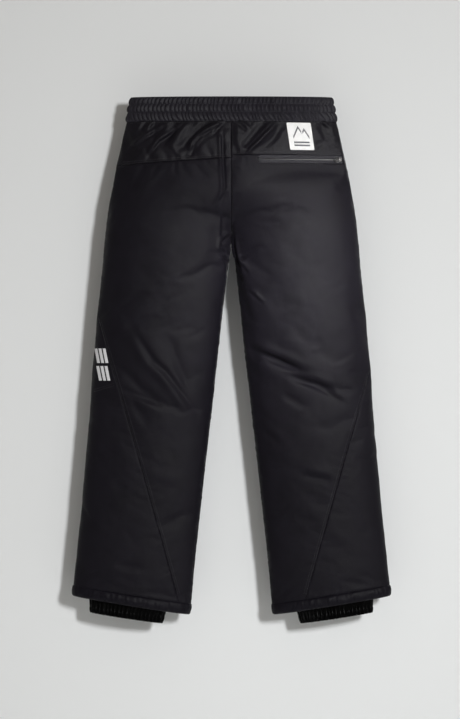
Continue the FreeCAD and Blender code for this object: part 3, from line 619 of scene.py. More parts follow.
def fold_height(points):
    """Summed height of the long folds at each point."""
    total = np.zeros(len(points))
    for place, folds in FOLDS.items():
        pick, x, z = faced(points, *place)
        for width, height, *line in folds:
            d, along = path_distance(x, z, np.array(line) / 1000)
            taper = np.sin(np.clip(along, 0.02, 0.98) * math.pi) ** 0.6
            total[pick] += height / 1000 * taper * bump(d / (width / 1000))
    return total


THIGH_Z = 0.6


def crease_height(points):
    """Summed height of the sharp creases; those of the legs are wider and softer."""
    total = np.zeros(len(points))
    for place, creases in CREASES.items():
        pick, x, z = faced(points, *place)
        for depth_mm, *line in creases:
            line = np.array(line) / 1000
            d, along = path_distance(x, z, line)
            (ax, az), (bx, bz) = line[0], line[-1]
            wide, crest = (0.0070, 0.7) if az < THIGH_Z else (0.0029, 1.2)
            across = 1.8 * wide * np.array([az - bz, bx - ax]) / math.hypot(bx - ax, bz - az)
            ridge, _ = path_distance(x - across[0], z - across[1], line)
            taper = np.sin(np.clip(along, 0.03, 0.97) * math.pi) ** 0.7
            shape = crest * bump(ridge / wide / 1.4) - bump(d / wide)
            total[pick] += depth_mm / 1000 * taper * shape
    return total


def calm_zone(points):
    """1 where the cloth is held flat: beside the zips, the fly and the label."""
    x, y, z = np.abs(points[:, 0]), points[:, 1], points[:, 2]
    back_right = (points[:, 0] > 0) & (y < 0)
    rear_d, _ = path_distance(x, z, FLAT["rear"][:2])
    hand_d, _ = path_distance(x, z, FLAT["hand"][:2])
    fly_d, _ = path_distance(x, z, [(0.0, 1.0), (0.0, 0.870)])
    label_d = np.maximum(np.abs(x - 0.137) - 0.024, np.abs(z - 0.973) - 0.026)
    calm = np.where(back_right, 1 - smooth((rear_d - 0.012) / 0.02), 0)
    calm = np.maximum(calm, np.where(back_right, 1 - smooth(label_d / 0.015), 0))
    calm = np.maximum(calm, np.where(y > 0, 1 - smooth((hand_d - 0.011) / 0.02), 0))
    return np.maximum(calm, np.where(y > 0, 1 - smooth((fly_d - 0.010) / 0.02), 0))


def seam_vertices(obj):
    """Vertices on every sewn line, and the vertices on open edges."""
    bm = bmesh.new()
    bm.from_mesh(obj.data)
    layer = bm.faces.layers.int["panel"]
    sewn, rim = set(), set()
    for e in bm.edges:
        if len(e.link_faces) < 2:
            rim.update(v.index for v in e.verts)
        elif e.link_faces[0][layer] != e.link_faces[1][layer]:
            sewn.update(v.index for v in e.verts)
    bm.free()
    return sewn, rim


def weight_group(obj, name, weights):
    group = obj.vertex_groups.new(name=name)
    for level in np.unique(np.round(weights, 2)):
        members = np.nonzero(np.abs(weights - level) < 0.0051)[0]
        group.add([int(i) for i in members], float(level), "REPLACE")


def relax_cloth(obj, frames=22):
    """Cloth simulation: the fabric grows a little, the seams shrink, and wrinkles form between them."""
    rest = coords(obj)
    sewn, rim = seam_vertices(obj)
    hold = 0.10 + 0.9 * calm_zone(rest)
    hold[list(rim)] = 1.0
    weight_group(obj, "hold", np.clip(hold, 0, 1))
    x, z = np.abs(rest[:, 0]), rest[:, 2]
    loose = np.maximum(smooth((z - 0.88) / 0.06), bump(np.hypot(x / 0.06, (z - 0.77) / 0.09)))
    tight = 0.34 * (1 - loose)
    tight[list(sewn)] = 0.48 + 0.52 * loose[list(sewn)]
    weight_group(obj, "tight", tight)
    mod = obj.modifiers.new("cloth", "CLOTH")
    cloth = mod.settings
    cloth.quality = 5
    cloth.mass = 0.2
    cloth.tension_stiffness = cloth.compression_stiffness = 18
    cloth.shear_stiffness = 6
    cloth.bending_stiffness = 0.5
    cloth.use_pressure = True
    cloth.uniform_pressure_force = 3.0
    cloth.vertex_group_mass = "hold"
    cloth.pin_stiffness = 0.6
    cloth.vertex_group_shrink = "tight"
    cloth.shrink_min, cloth.shrink_max = -0.016, 0.020
    cloth.effector_weights.gravity = 0
    mod.collision_settings.use_collision = False
    mod.collision_settings.use_self_collision = False
    mod.point_cache.frame_end = frames
    for number in range(1, frames + 1):
        bpy.context.scene.frame_set(number)
    apply_modifiers(obj)
    bpy.context.scene.frame_set(1)


DEEPEST, LONGEST_SLIDE = 0.004, 0.004


def settle(obj, base, normal):
    """Keeps the cloth near the skin: not down into the wadding, and little past the outline."""
    move = coords(obj) - base
    out = (move * normal).sum(1, keepdims=True)
    slide = move - out * normal
    slide *= np.minimum(1, LONGEST_SLIDE / np.maximum(np.linalg.norm(slide, axis=1, keepdims=True), 1e-9))
    high = 0.0100 - 0.0080 * np.abs(normal[:, :1])
    out = np.where(out < 0, -DEEPEST * np.tanh(-out / DEEPEST), high * np.tanh(out / high))
    set_coords(obj, base + slide + out * normal)


def nearest_on(points, rim):
    """Distance to the nearest rim point, and a smooth position along the rim."""
    distance, place = np.empty(len(points)), np.empty((len(points), 3))
    for i in range(0, len(points), 4000):
        block = points[i : i + 4000]
        d = np.linalg.norm(block[:, None] - rim[None], axis=2)
        distance[i : i + 4000] = d.min(1)
        weight = np.exp(-(d - d.min(1, keepdims=True)) / 0.0015)
        place[i : i + 4000] = (weight[:, :, None] * rim[None]).sum(1) / weight.sum(1)[:, None]
    return distance, place


def finish_panel(obj, seed):
    """Rolls the cloth in at its sewn edges and puckers it beside them."""
    subdivide(obj)
    bm = bmesh.new()
    bm.from_mesh(obj.data)
    rim = np.array([v.co for v in bm.verts if v.is_boundary])
    bm.free()
    points, normal = coords(obj), normals(obj)
    distance, place = nearest_on(points, rim)
    calm = calm_zone(points)
    x, z = np.abs(points[:, 0]), points[:, 2]
    crotch = bump((z - CROTCH_Z + 0.02) / 0.06) * bump(x / 0.03)
    inside = bump((x - inner_x(z)) / 0.02) * (z < CROTCH_Z)
    strength = 0.0010 + 0.0012 * crotch + 0.0009 * inside
    beside = np.exp(-distance / 0.010) * (1 - np.exp(-distance / 0.0015))
    pucker = fractal(place, 95.0, seed, 2) * strength * beside
    groove = -0.0003 * bump(distance / 0.0014) + 0.0002 * bump((distance - 0.0045) / 0.002)
    drift = fractal(points, 26.0, seed + 5, 2) * 0.0008 * (1 - np.exp(-distance / 0.02))
    lift = groove * (1 - 0.6 * calm) + (pucker + drift) * (1 - calm)
    lift = np.maximum(lift, -0.0012) + crease_height(points) * (1 - calm)
    set_coords(obj, points + normal * np.maximum(lift, -0.0034)[:, None])


def split_panels(shell):
    """One object per sewn panel."""
    attribute = np.empty(len(shell.data.polygons), dtype=np.int32)
    shell.data.attributes["panel"].data.foreach_get("value", attribute)
    points = coords(shell)
    pieces = {}
    faces = [tuple(p.vertices) for p in shell.data.polygons]
    for side in SIDES:
        for number, kind in enumerate(PANELS):
            chosen = [faces[i] for i in np.nonzero(attribute == number + 10 * (side == "right"))[0]]
            used = sorted({i for f in chosen for i in f})
            index = {v: k for k, v in enumerate(used)}
            name = f"{kind}_cloth_{side}"
            material = YOKE if kind == "yoke" else SHELL
            faces_used = [[index[i] for i in f] for f in chosen]
            pieces[kind, side] = new_object(name, points[used], faces_used, material)
    bpy.data.objects.remove(shell)
    return pieces


shell = whole_shell()
flat_points = coords(shell)
lift = fold_height(flat_points) * (1 - calm_zone(flat_points))
hem_calm = smooth((flat_points[:, 2] - hem_line(np.abs(flat_points[:, 0])) - HEM_SEAM) / 0.03)
waist_calm = smooth((SEAM_Z - flat_points[:, 2]) / 0.007)
flat_normals = normals(shell)
set_coords(shell, flat_points + flat_normals * (lift * hem_calm * waist_calm)[:, None])
relax_cloth(shell)
settle(shell, flat_points, flat_normals)
panels = split_panels(shell)
for number, piece in enumerate(panels.values()):
    finish_panel(piece, number + 1)

outside = bmesh.new()
for piece in panels.values():
    outside.from_mesh(piece.data)
SURFACE = BVHTree.FromBMesh(outside)
outside.free()
for piece in panels.values():
    thicken(piece, 0.0009)


def on_surface(side, front, x, z, lift=0.0):
    """Place on the finished cloth, straight in from the front or back, raised a little, and its normal."""
    way = -1 if front else 1
    hit, normal, _, _ = SURFACE.ray_cast(Vector((SIDES[side] * x, -0.3 * way, z)), Vector((0, way, 0)))
    if hit is None:
        hit = Vector(skin_x(SIDES[side], front, x, z))
        normal = Vector(skin_normal(SIDES[side], front, x, z))
    if normal.y * way > 0:
        normal = -normal
    return np.array(hit + normal * lift), np.array(normal)


# ---- stitches -------------------------------------------------------------------------------------
def stitch_line(side, front, line, pitch=0.0036, length=0.0026):
    """Ends and normals of the stitches along a polyline in (x, z)."""
    line = np.array(line, float)
    reach = reach_along(line)
    out = []
    for s in np.arange(pitch / 2, reach[-1] - length, pitch):
        ends = [[np.interp(s + t, reach, line[:, k]) for k in (0, 1)] for t in (0, length)]
        a, normal = on_surface(side, front, *ends[0], 0.00015)
        b, _ = on_surface(side, front, *ends[1], 0.00015)
        if np.linalg.norm(b - a) < 3 * length:
            out.append((a, b, normal))
    return out


def stitches(name, runs, radius=0.00028):
    """Threads as small spindles, sunk at both ends."""
    verts, faces = [], []
    for a, b, normal in runs:
        along = (b - a) / np.linalg.norm(b - a)
        across = np.cross(along, normal)
        start = len(verts)
        for t, r, dip in ((0, 0.3, -0.0003), (0.25, 1, 0.00005), (0.75, 1, 0.00005), (1, 0.3, -0.0003)):
            centre = a + (b - a) * t + normal * dip
            for k in range(5):
                turn = 2 * math.pi * k / 5
                verts.append(centre + radius * r * (math.cos(turn) * across + math.sin(turn) * normal))
        faces += grid_faces(4, 5, close_cols=True, start=start)
    return new_object(name, verts, faces, THREAD)


def seam_line(side, front, offset, low):
    """Line beside the slanted seam, offset towards the centre."""
    top = SIDE_SEAM[side, front] - 0.006
    return [(float(side_seam_x(side, front, z)) - offset, z) for z in np.linspace(low, top, 24)]


def straight(x0, z0, x1, z1, count=12):
    return [(x0 + (x1 - x0) * t, z0 + (z1 - z0) * t) for t in np.linspace(0, 1, count)]


for side in SIDES:
    runs = []
    for front in (False, True):
        low = float(hem_line(0.15)) + HEM_SEAM + 0.01
        for offset in (0.0022, 0.0062):
            runs += stitch_line(side, front, seam_line(side, front, offset, low))
    for front in (False, True):
        runs += stitch_line(side, front, straight(0.0025, 1.0, 0.0025, 0.775))
    (ax, az), (bx, bz) = YOKE_SEAM[side]
    for offset in (0.0022, 0.0062):
        runs += stitch_line(side, False, straight(0.004, az + offset, bx - 0.008, bz + offset, 30))
    runs += stitch_line(side, False, straight(0.004, 1.0005, 0.203, 1.0005, 30))
    runs += stitch_line(side, True, straight(0.012, 1.0005, 0.203, 1.0005, 30))
    if side == "left":
        for offset in (0.0, 0.0045):
            runs += stitch_line(side, False, straight(0.232, 0.4765 + offset, 0.277, 0.4625 + offset))
    (ax, az), (bx, bz), _ = FLAT["hand"]
    length = math.hypot(bx - ax, bz - az)
    ux, uz = (bx - ax) / length, (bz - az) / length
    # open at the low end, where the pull hangs when the pocket is open
    corners = [(-0.006, -0.0105), (length + 0.011, -0.0105), (length + 0.011, 0.0105), (-0.006, 0.0105)]
    box = [(ax + a * ux - b * uz, az + a * uz + b * ux) for a, b in corners]
    for (px, pz), (qx, qz) in zip(box[:-1], box[1:]):
        runs += stitch_line(side, True, straight(px, pz, qx, qz, 4))
    if side == "right":
        corner = [(0.218, 0.9165), (0.056, 0.9165), (0.0505, 0.9225), (0.0500, 0.9320)]
        runs += stitch_line(side, False, corner)
    piece = stitches("stitching_" + side, runs)
    fasten(piece, knee=side)

for side in SIDES:
    fasten(panels["yoke", side], ["yoke_back_" + side], "yoke_fabric")
    for kind, nodes in (
        ("leg_back", ["seat_back_", "calf_back_", "knee_section_"]),
        ("leg_side", ["side_panel_", "calf_side_"]),
        ("leg_front", ["front_", "calf_front_"]),
    ):
        fasten(panels[kind, side], [n + side for n in nodes], "shell_fabric", knee=side)


# ---- waistband ------------------------------------------------------------------------------------
def arc_turns(z, count, inset=0.0):
    """Signed angles round the whole waist, evenly spaced along it, open at the centre front."""
    turn = np.linspace(-2 * math.pi + 0.012, 2 * math.pi - 0.012, 4001)
    points = waist_point(turn, z, inset)
    reach = reach_along(points)
    return np.interp(np.linspace(0, reach[-1], count), reach, turn), reach[-1]


def waist_point(turn, z, inset):
    right = turn_point(1, np.abs(turn), z, inset)
    right[..., 0] *= np.where(turn < 0, -1, 1)
    return right


def gathers(s, pitch, seed, lean=0.0, height=0.0):
    """Rounded gathers with sharp valleys between them; s is the distance along the band."""
    phase = s / pitch + 0.55 * ripple(s, 45.0, seed * 5.3, 0) + lean * height
    return np.abs(np.sin(math.pi * phase)) ** 0.8 * (0.75 + 0.5 * ripple(s, 70.0, seed * 9.1, 4.0))


def waist_ring(name, rows, material, pitch=0.0085):
    """Ring round the waist from rows of (z, inset, gather height, gather seed, lean)."""
    count, middle, tall = 1100, 1.028, 0.048
    turn, length = arc_turns(middle, count)
    s = np.linspace(0, length, count)
    verts = []
    for z, inset, height, seed, lean in rows:
        wave = gathers(s, pitch, seed, lean, (z - middle) / tall)
        base = waist_point(turn, z, inset)
        x = np.abs(base[:, 0])
        calm = ((base[:, 1] > 0) & (x < 0.06)) * (1 - smooth((x - 0.048) / 0.012))
        out = waist_point(turn, z, inset - height)
        verts.append(base + (out - base) * (wave * (1 - calm))[:, None])
    return new_object(name, np.concatenate(verts), grid_faces(len(rows), count), material)


def channel(z, stops):
    """0 at each stitched line and 1 between them, and the number of the channel."""
    k = int(np.searchsorted(stops, z, side="right")) - 1
    k = min(max(k, 0), len(stops) - 2)
    t = (z - stops[k]) / (stops[k + 1] - stops[k])
    return max(0.0, math.sin(math.pi * min(max(t, 0), 1))) ** 0.55, k


STOPS = [1.0040, 1.0220, 1.0375, 1.0520]
LEANS = [2.2, 0.2, -1.1]
rows = []
for z in np.linspace(1.0030, 1.0520, 50):
    puff, k = channel(z, STOPS)
    rows.append((z, -0.0004 - 0.0009 * puff, 0.0004 + 0.0034 * puff, 3 + k, LEANS[k]))
for t in np.linspace(0.15, 1.0, 7):
    turn = math.pi * t
    rows.append((1.0520 + 0.0007 * math.sin(turn), 0.0010 - 0.0014 * math.cos(turn), 0.0006, 5, LEANS[2]))
for z in np.linspace(1.0505, 1.0060, 8):
    rows.append((z, 0.0022, 0.0, 5, 0.0))
waistband = waist_ring("waistband_cloth", rows, BAND)
fasten(waistband, ["waistband"], "waistband_fabric")

rows = [(z, 0.0026 + 0.0003 * (i % 2), 0.0, 7, 0.0) for i, z in enumerate(np.linspace(1.0495, 1.0065, 26))]
facing = waist_ring("waistband_facing_cloth", rows, FACING)
thicken(facing, 0.0007)
fasten(facing, ["waistband_facing"], "facing_fabric")
rows = [(z, 0.0011 + 0.0002 * (i % 2), 0.0, 7, 0.0) for i, z in enumerate(np.linspace(1.0080, 1.0480, 30))]
webbing = waist_ring("waist_elastic_webbing", rows, ELASTIC)
thicken(webbing, 0.0006)
fasten(webbing, ["waist_elastic"], "elastic")

# ---- hems, gaiters and inner layers ---------------------------------------------------------------
def leg_ring(name, side, rows, material, count=420, thick=0.0):
    """Closed ring round a leg; each row is a function from angles and distances round it to points."""
    turn = np.linspace(0, 2 * math.pi, 3000)
    base = turn_point(1, turn, 0.05)
    reach = reach_along(base)
    s = np.linspace(0, reach[-1], count + 1)[:-1]
    even = np.interp(s, reach, turn)
    verts = np.concatenate([row(even, s) for row in rows])
    verts[:, 0] *= SIDES[side]
    faces = grid_faces(len(rows), count, close_cols=True)
    if side == "right":
        faces = [f[::-1] for f in faces]
    obj = new_object(name, verts, faces, material)
    if thick:
        thicken(obj, thick)
    return obj


def hem_point(turn, above, inset):
    z = np.full(len(turn), 0.04)
    for _ in range(4):
        p = turn_point(1, turn, z, inset)
        z = hem_line(p[:, 0]) + above
    return turn_point(1, turn, z, inset)


def hem_row(above, inset, pucker, seed):
    def row(turn, s):
        level = inset * (0.25 + 0.75 * np.abs(np.sin(turn)) ** 0.6) if inset < 0 else inset
        base = hem_point(turn, above, level)
        out = hem_point(turn, above, level - 0.001)
        wave = ripple(s, 95.0, seed * 3.1, above * 60) + 0.6 * ripple(s, 210.0, seed * 1.7, above * 25)
        return base + (out - base) * (wave * pucker * 1000)[:, None]

    return row


# The gaiter is sewn in at GAITER_TOP; its gathered edge is an ellipse about GAITER_X, slanted like the hem.
GAITER_TOP, GAITER_X, GAITER_HALF, GAITER_DEEP, GAITER_SLANT = 0.196, 0.211, 0.072, 0.020, 0.1528


def gaiter_row(down, inset, gather, seed):
    def row(turn, s):
        top = turn_point(1, turn, GAITER_TOP, 0.0124 + inset)
        x = GAITER_X - (GAITER_HALF - inset) * np.cos(turn)
        z = (x - GAITER_X + GAITER_HALF) * GAITER_SLANT
        low = np.stack([x, -(GAITER_DEEP - inset) * np.sin(turn), z], -1)
        base = top * (1 - down) + low * down
        out = np.stack([-np.cos(turn) / GAITER_HALF, -np.sin(turn) / 0.024, 0 * turn], -1)
        out /= np.linalg.norm(out, axis=1, keepdims=True)
        wave = gathers(s, 0.0125, seed) - 0.5
        return base + out * (wave * gather)[:, None]

    return row


for side in SIDES:
    calf = "calf_" + side
    seed = 2 if side == "left" else 6
    rows = []
    for k in range(23):
        t = k / 22
        puff = math.sin(math.pi * min(1, t)) ** 0.45
        rough = 0.0014 * (0.35 + 0.65 * puff)
        rows.append(hem_row(0.0218 - 0.0213 * t, 0.0008 - 0.0048 * puff, rough, seed))
    for t in (0.3, 0.6, 1.0):
        rows.append(hem_row(-0.0006 * (1 - t), 0.0012 + 0.0022 * t, 0.0004, seed))
    for above in (0.006, 0.012, 0.018, 0.024):
        rows.append(hem_row(above, 0.0038, 0.0003, seed))
    hem = leg_ring("hem_cloth_" + side, side, rows, HEM, count=460)
    fasten(hem, ["hem_band_" + side], "hem_fabric", calf)
    rows = [gaiter_row(t, 0.0, 0.0002 + 0.0036 * t**2, seed + 1) for t in np.linspace(0, 0.93, 26)]
    for t in np.linspace(0.935, 1.0, 9):
        rows.append(gaiter_row(t, -0.0008 * math.sin(math.pi * (t - 0.93) / 0.07), 0.0040, seed + 1))
    gaiter = leg_ring("gaiter_cloth_" + side, side, rows, GAITER, count=420, thick=0.0007)
    fasten(gaiter, ["gaiter_" + side], "gaiter_fabric", calf)
    cord_rows = enumerate(np.linspace(0.935, 0.985, 12))
    rows = [gaiter_row(t, 0.0030 + 0.0003 * (i % 2), 0.0012, seed + 1) for i, t in cord_rows]
    cord = leg_ring("gaiter_elastic_webbing_" + side, side, rows, ELASTIC, count=300, thick=0.0009)
    fasten(cord, ["gaiter_elastic_" + side], "elastic", calf)


INNER_TOP, FLY_SLIT = 1.0032, 0.0155


def inner_tube(name, side, inset, low, material, rough, thick, seed):
    """Whole inner layer of one half, from low above the hem line up, with a slit behind the fly."""
    turn = np.linspace(0.02, 2 * math.pi - 0.02, 97)
    levels, verts = 150, []
    for v in np.linspace(0, 1, levels):
        z = np.full(len(turn), 0.5)
        for _ in range(4):
            p = turn_point(1, turn, z, inset)
            z = (hem_line(np.maximum(p[:, 0], HEM_INNER[0])) + low) * (1 - v) + INNER_TOP * v
        verts.append(turn_point(SIDES[side], turn, z, inset))
    verts = np.concatenate(verts)
    faces = []
    for f in grid_faces(levels, len(turn)):
        c = verts[list(f)].mean(0)
        if not (abs(c[0]) < FLY_SLIT and c[1] > 0 and c[2] > FLY_Z):
            faces.append(f if side == "left" else f[::-1])
    obj = new_object(name, verts, faces, material)
    set_coords(obj, verts + normals(obj) * (fractal(verts, 32.0, seed, 3) * rough)[:, None])
    subdivide(obj)
    thicken(obj, thick, offset=0.0)
    return obj


for side in SIDES:
    lining = inner_tube("lining_cloth_" + side, side, 0.0118, 0.006, LINING, 0.0007, 0.0004, 11)
    wadding = inner_tube("insulation_wadding_" + side, side, 0.0088, 0.018, WADDING, 0.0006, 0.0016, 14)
    for piece, kind in ((lining, "lining"), (wadding, "insulation")):
        fasten(piece, [f"{kind}_{side}"], kind, knee=side)


def skin_quad(name, side, front, corners, inset, material, count=(24, 24), rough=0.0, thick=0.0006):
    """Sheet between four (x, z) corners, laid inset within the skin."""
    u, v = np.meshgrid(np.linspace(0, 1, count[0]), np.linspace(0, 1, count[1]))
    u, v = u.ravel(), v.ravel()
    c = np.array(corners)
    shares = ((1 - v) * (1 - u), (1 - v) * u, v * (1 - u), v * u)
    flat = sum(share[:, None] * corner for share, corner in zip(shares, c))
    points = skin_x(SIDES[side], front, flat[:, 0], flat[:, 1], inset)
    faces = grid_faces(count[1], count[0])
    if (side == "left") != front:
        faces = [f[::-1] for f in faces]
    obj = new_object(name, points, faces, material)
    if rough:
        set_coords(obj, points + normals(obj) * (fractal(points, 40.0, 3, 2) * rough)[:, None])
    thicken(obj, thick, offset=0.0)
    return obj


for side in SIDES:
    bag = [(0.080, 0.800), (0.1705, 0.848), (0.070, 0.962), (0.1165, 0.968)]
    piece = skin_quad("hand_pocket_cloth_" + side, side, True, bag, 0.0058, POCKET, rough=0.0003)
    fasten(piece, ["hand_pocket_bag_" + side], "pocket_fabric")
bag = [(0.060, 0.792), (0.196, 0.792), (0.052, 0.9139), (0.203, 0.9139)]
piece = skin_quad("rear_pocket_cloth", "right", False, bag, 0.0058, POCKET, rough=0.0003)
fasten(piece, ["rear_pocket_bag"], "pocket_fabric")
shield = [(0.0, 0.868), (0.022, 0.868), (0.0, 1.003), (0.022, 1.003)]
halves = [
    skin_quad("fly_shield_half", side, True, shield, 0.0130, FACING, (8, 40), 0.0002, 0.0009)
    for side in SIDES
]


def join(objects, name):
    """Merges objects into the first one."""
    bm = bmesh.new()
    for obj in objects:
        bm.from_mesh(obj.data)
    first = objects[0]
    bmesh.ops.remove_doubles(bm, verts=bm.verts, dist=0.00002)
    bm.to_mesh(first.data)
    bm.free()
    first.name = first.data.name = name
    for obj in objects[1:]:
        bpy.data.objects.remove(obj)
    return first


fasten(join(halves, "fly_shield_cloth"), ["fly_shield"], "facing_fabric")

# ---- zips -----------------------------------------------------------------------------------------
def zip_frame(slide, swing):
    """Start, length and axes of a zip, from its slider's travel and its pull's hinge."""
    u = -np.array(JOINTS[slide]["axis"])
    v = np.array(JOINTS[swing]["axis"])
    n = np.cross(u, v)
    length = JOINTS[slide]["range_m"][1] + 0.006
    start = np.array(JOINTS[swing]["pos_m"]) - 0.0026 * n - length * u
    return start, length, u, v, n


def tapes(name, zips):
    """Woven tape halves with a corded edge by the teeth and a faint rib along each."""
    profile = [
        (0.0007, -0.0007), (0.0007, -0.0002), (0.0011, 0.0), (0.0021, 0.0), (0.0026, -0.00018),
        (0.0034, -0.00018), (0.0040, -0.00006), (0.0070, -0.00006), (0.0076, -0.0002), (0.0121, -0.0002),
        (0.0125, -0.0004), (0.0125, -0.0007), (0.0090, -0.0008), (0.0011, -0.0008),
    ]
    verts, faces = [], []
    for start, length, u, v, n in zips:
        finish = length + 0.0056 + 0.0023
        tip = np.linspace(finish - 0.0050, finish, 7)
        stations = np.concatenate([np.linspace(-0.005, finish - 0.0056, 60), tip])
        for s in (1, -1):
            first = len(verts)
            for a in stations:
                limit = min(0.0125, 0.007 + finish - a)
                for b, h in profile:
                    verts.append(start + u * a + v * s * min(b, limit) + n * h)
            ring = grid_faces(len(stations), len(profile), close_cols=True, start=first)
            last = len(verts) - len(profile)
            caps = [tuple(range(first, first + len(profile))), tuple(range(last, len(verts)))[::-1]]
            faces += [f if s > 0 else f[::-1] for f in ring + caps]
    return new_object(name, verts, faces, TAPE, smooth_shade=False)


ZIPS = {
    "rear": [zip_frame("rear_zip_slide", "rear_pull_swing")],
    "hand": [zip_frame("hand_zip_slide_" + s, "hand_pull_swing_" + s) for s in SIDES],
    "fly": [zip_frame("fly_zip_slide", "fly_pull_swing")],
}
for kind, zips in ZIPS.items():
    fasten(tapes(kind + "_tape_cloth", zips), [kind + "_zip_tape"], "zip_tape")

# ---- marks ----------------------------------------------------------------------------------------
LABEL_CORNERS = [(0.117, 0.9455), (0.1655, 0.9455), (0.109, 1.000), (0.1575, 1.000)]


def label_place(u, v):
    (ax, az), (bx, _), (cx, cz), _ = LABEL_CORNERS
    return ax + u * (bx - ax) + v * (cx - ax), az + v * (cz - az)


def patch(name, side, front, grid, lift, material, thick):
    """Sheet of (x, z) places raised off the finished cloth, with a rounded edge."""
    rows, cols = len(grid), len(grid[0])
    places = np.array([[on_surface(side, front, x, z) for x, z in row] for row in grid])
    points, normal = places[:, :, 0], places[:, :, 1]
    for _ in range(3):
        points[1:-1, 1:-1] = (points[:-2, 1:-1] + points[2:, 1:-1] + points[1:-1, :-2] + points[1:-1, 2:]) / 4
    mean = normal.reshape(-1, 3).mean(0)
    mean /= np.linalg.norm(mean)
    points = points.reshape(-1, 3) + mean * lift
    faces = grid_faces(rows, cols)
    obj = new_object(name, points, faces, material)
    if np.dot(np.array(obj.data.polygons[0].normal), mean) < 0:
        obj.data.flip_normals()
    thicken(obj, thick, offset=1.0)
    mod = obj.modifiers.new("edge", "BEVEL")
    mod.width, mod.segments, mod.limit_method = thick * 0.3, 2, "ANGLE"
    apply_modifiers(obj)
    obj.data.polygons.foreach_set("use_smooth", [True] * len(obj.data.polygons))
    return obj


def rounded(u, v, r=0.035):
    """Pulls the corners of the unit square in to round them."""
    for _ in range(2):
        cu, cv = min(max(u, r), 1 - r), min(max(v, r), 1 - r)
        du, dv = u - cu, v - cv
        reach = max(abs(du), abs(dv))
        if abs(du) > 1e-9 and abs(dv) > 1e-9:
            scale = reach / math.hypot(du, dv)
            return cu + du * scale, cv + dv * scale
    return u, v


grid = [[label_place(*rounded(u, v)) for u in np.linspace(0, 1, 34)] for v in np.linspace(0, 1, 38)]
label = patch("label_patch_moulded", "right", False, grid, 0.0002, LABEL, 0.0010)
fasten(label, ["label_patch"], "label")


def stroke(u0, v0, u1, v1, high):
    return [
        [label_place(u0 + (u1 - u0) * s, v0 + (v1 - v0) * s + high * t) for s in np.linspace(0, 1, 8)]
        for t in (0, 0.5, 1)
    ]


marks = [stroke(0.20, v, 0.84, v, 0.06) for v in (0.14, 0.25)]
marks += [stroke(0.20, 0.40, 0.44, 0.78, 0.10), stroke(0.44, 0.78, 0.56, 0.58, 0.10)]
marks += [stroke(0.60, 0.58, 0.68, 0.70, 0.10), stroke(0.68, 0.70, 0.86, 0.40, 0.10)]
marks = [patch(f"mark_{i}", "right", False, g, 0.0013, INK, 0.0002) for i, g in enumerate(marks)]
mark = join(marks, "label_mark_raised")
fasten(mark, ["label_mark"], "label_ink")

bars = []
for row, z in enumerate((0.486, 0.521)):
    for k in range(3):
        near = 0.241 + 0.004 * row + 0.0085 * k
        bars.append([
            [(near + 0.006 * (s + t), z + 0.029 * t) for s in np.linspace(0, 1, 5)]
            for t in np.linspace(0, 1, 16)
        ])
bars = [patch(f"bar_{i}", "left", False, g, 0.0002, PRINT, 0.0002) for i, g in enumerate(bars)]
print_piece = join(bars, "leg_print_transfer")
fasten(print_piece, ["leg_print"], "print", knee="left")

# ---- waist tab ------------------------------------------------------------------------------------
hinge = JOINTS["waist_tab_swing"]
TAB_U = np.array([1.0, 0, 0])
TAB_V = -np.array(hinge["axis"])
TAB_N = np.cross(TAB_U, TAB_V)
TAB_ORIGIN = np.array(hinge["pos_m"]) + 0.026 * TAB_U - 0.0059 * TAB_N


def strap(name, x_span, half_height, n_span, corner, puff=0.0004):
    """Padded flat strap with rounded corners and rolled edges."""
    x0, x1 = x_span
    cx, half = (x0 + x1) / 2, (x1 - x0) / 2
    middle, thick = sum(n_span) / 2, (n_span[1] - n_span[0]) / 2
    verts, count = [], 96
    edge = [(0.0, 1.0), (0.45, 1.0), (0.8, 0.97), (0.93, 0.9), (0.985, 0.6), (1.0, 0.0)]
    for ring_at, level in edge + [(at, -level) for at, level in edge[-2::-1]]:
        for k in range(count):
            a = 2 * math.pi * k / count
            c, s = math.cos(a), math.sin(a)
            power = 2 / corner
            px = half * math.copysign(abs(c) ** power, c) * ring_at
            py = half_height * math.copysign(abs(s) ** power, s) * ring_at
            n = middle + thick * level + (puff * math.copysign(1, level) if 0.5 < ring_at < 0.9 else 0)
            verts.append(TAB_ORIGIN + TAB_U * (cx + px) + TAB_V * py + TAB_N * n)
    faces = grid_faces(11, count, close_cols=True)
    obj = new_object(name, verts, [f[::-1] for f in faces], YOKE)
    bm = bmesh.new()
    bm.from_mesh(obj.data)
    bmesh.ops.remove_doubles(bm, verts=bm.verts, dist=1e-6)
    bmesh.ops.recalc_face_normals(bm, faces=bm.faces)
    bm.to_mesh(obj.data)
    bm.free()
    return obj


def strap_stitches(name, outline, level):
    """Stitches on a strap's face along a closed outline in its own plane."""
    outline = np.array(outline + outline[:1])
    reach = reach_along(outline)

    def place(s):
        across, up = (np.interp(s, reach, outline[:, k]) for k in (0, 1))
        return TAB_ORIGIN + TAB_U * across + TAB_V * up + TAB_N * level

    starts = np.arange(0, reach[-1] - 0.003, 0.0034)
    return stitches(name, [(place(s), place(s + 0.0024), TAB_N) for s in starts])


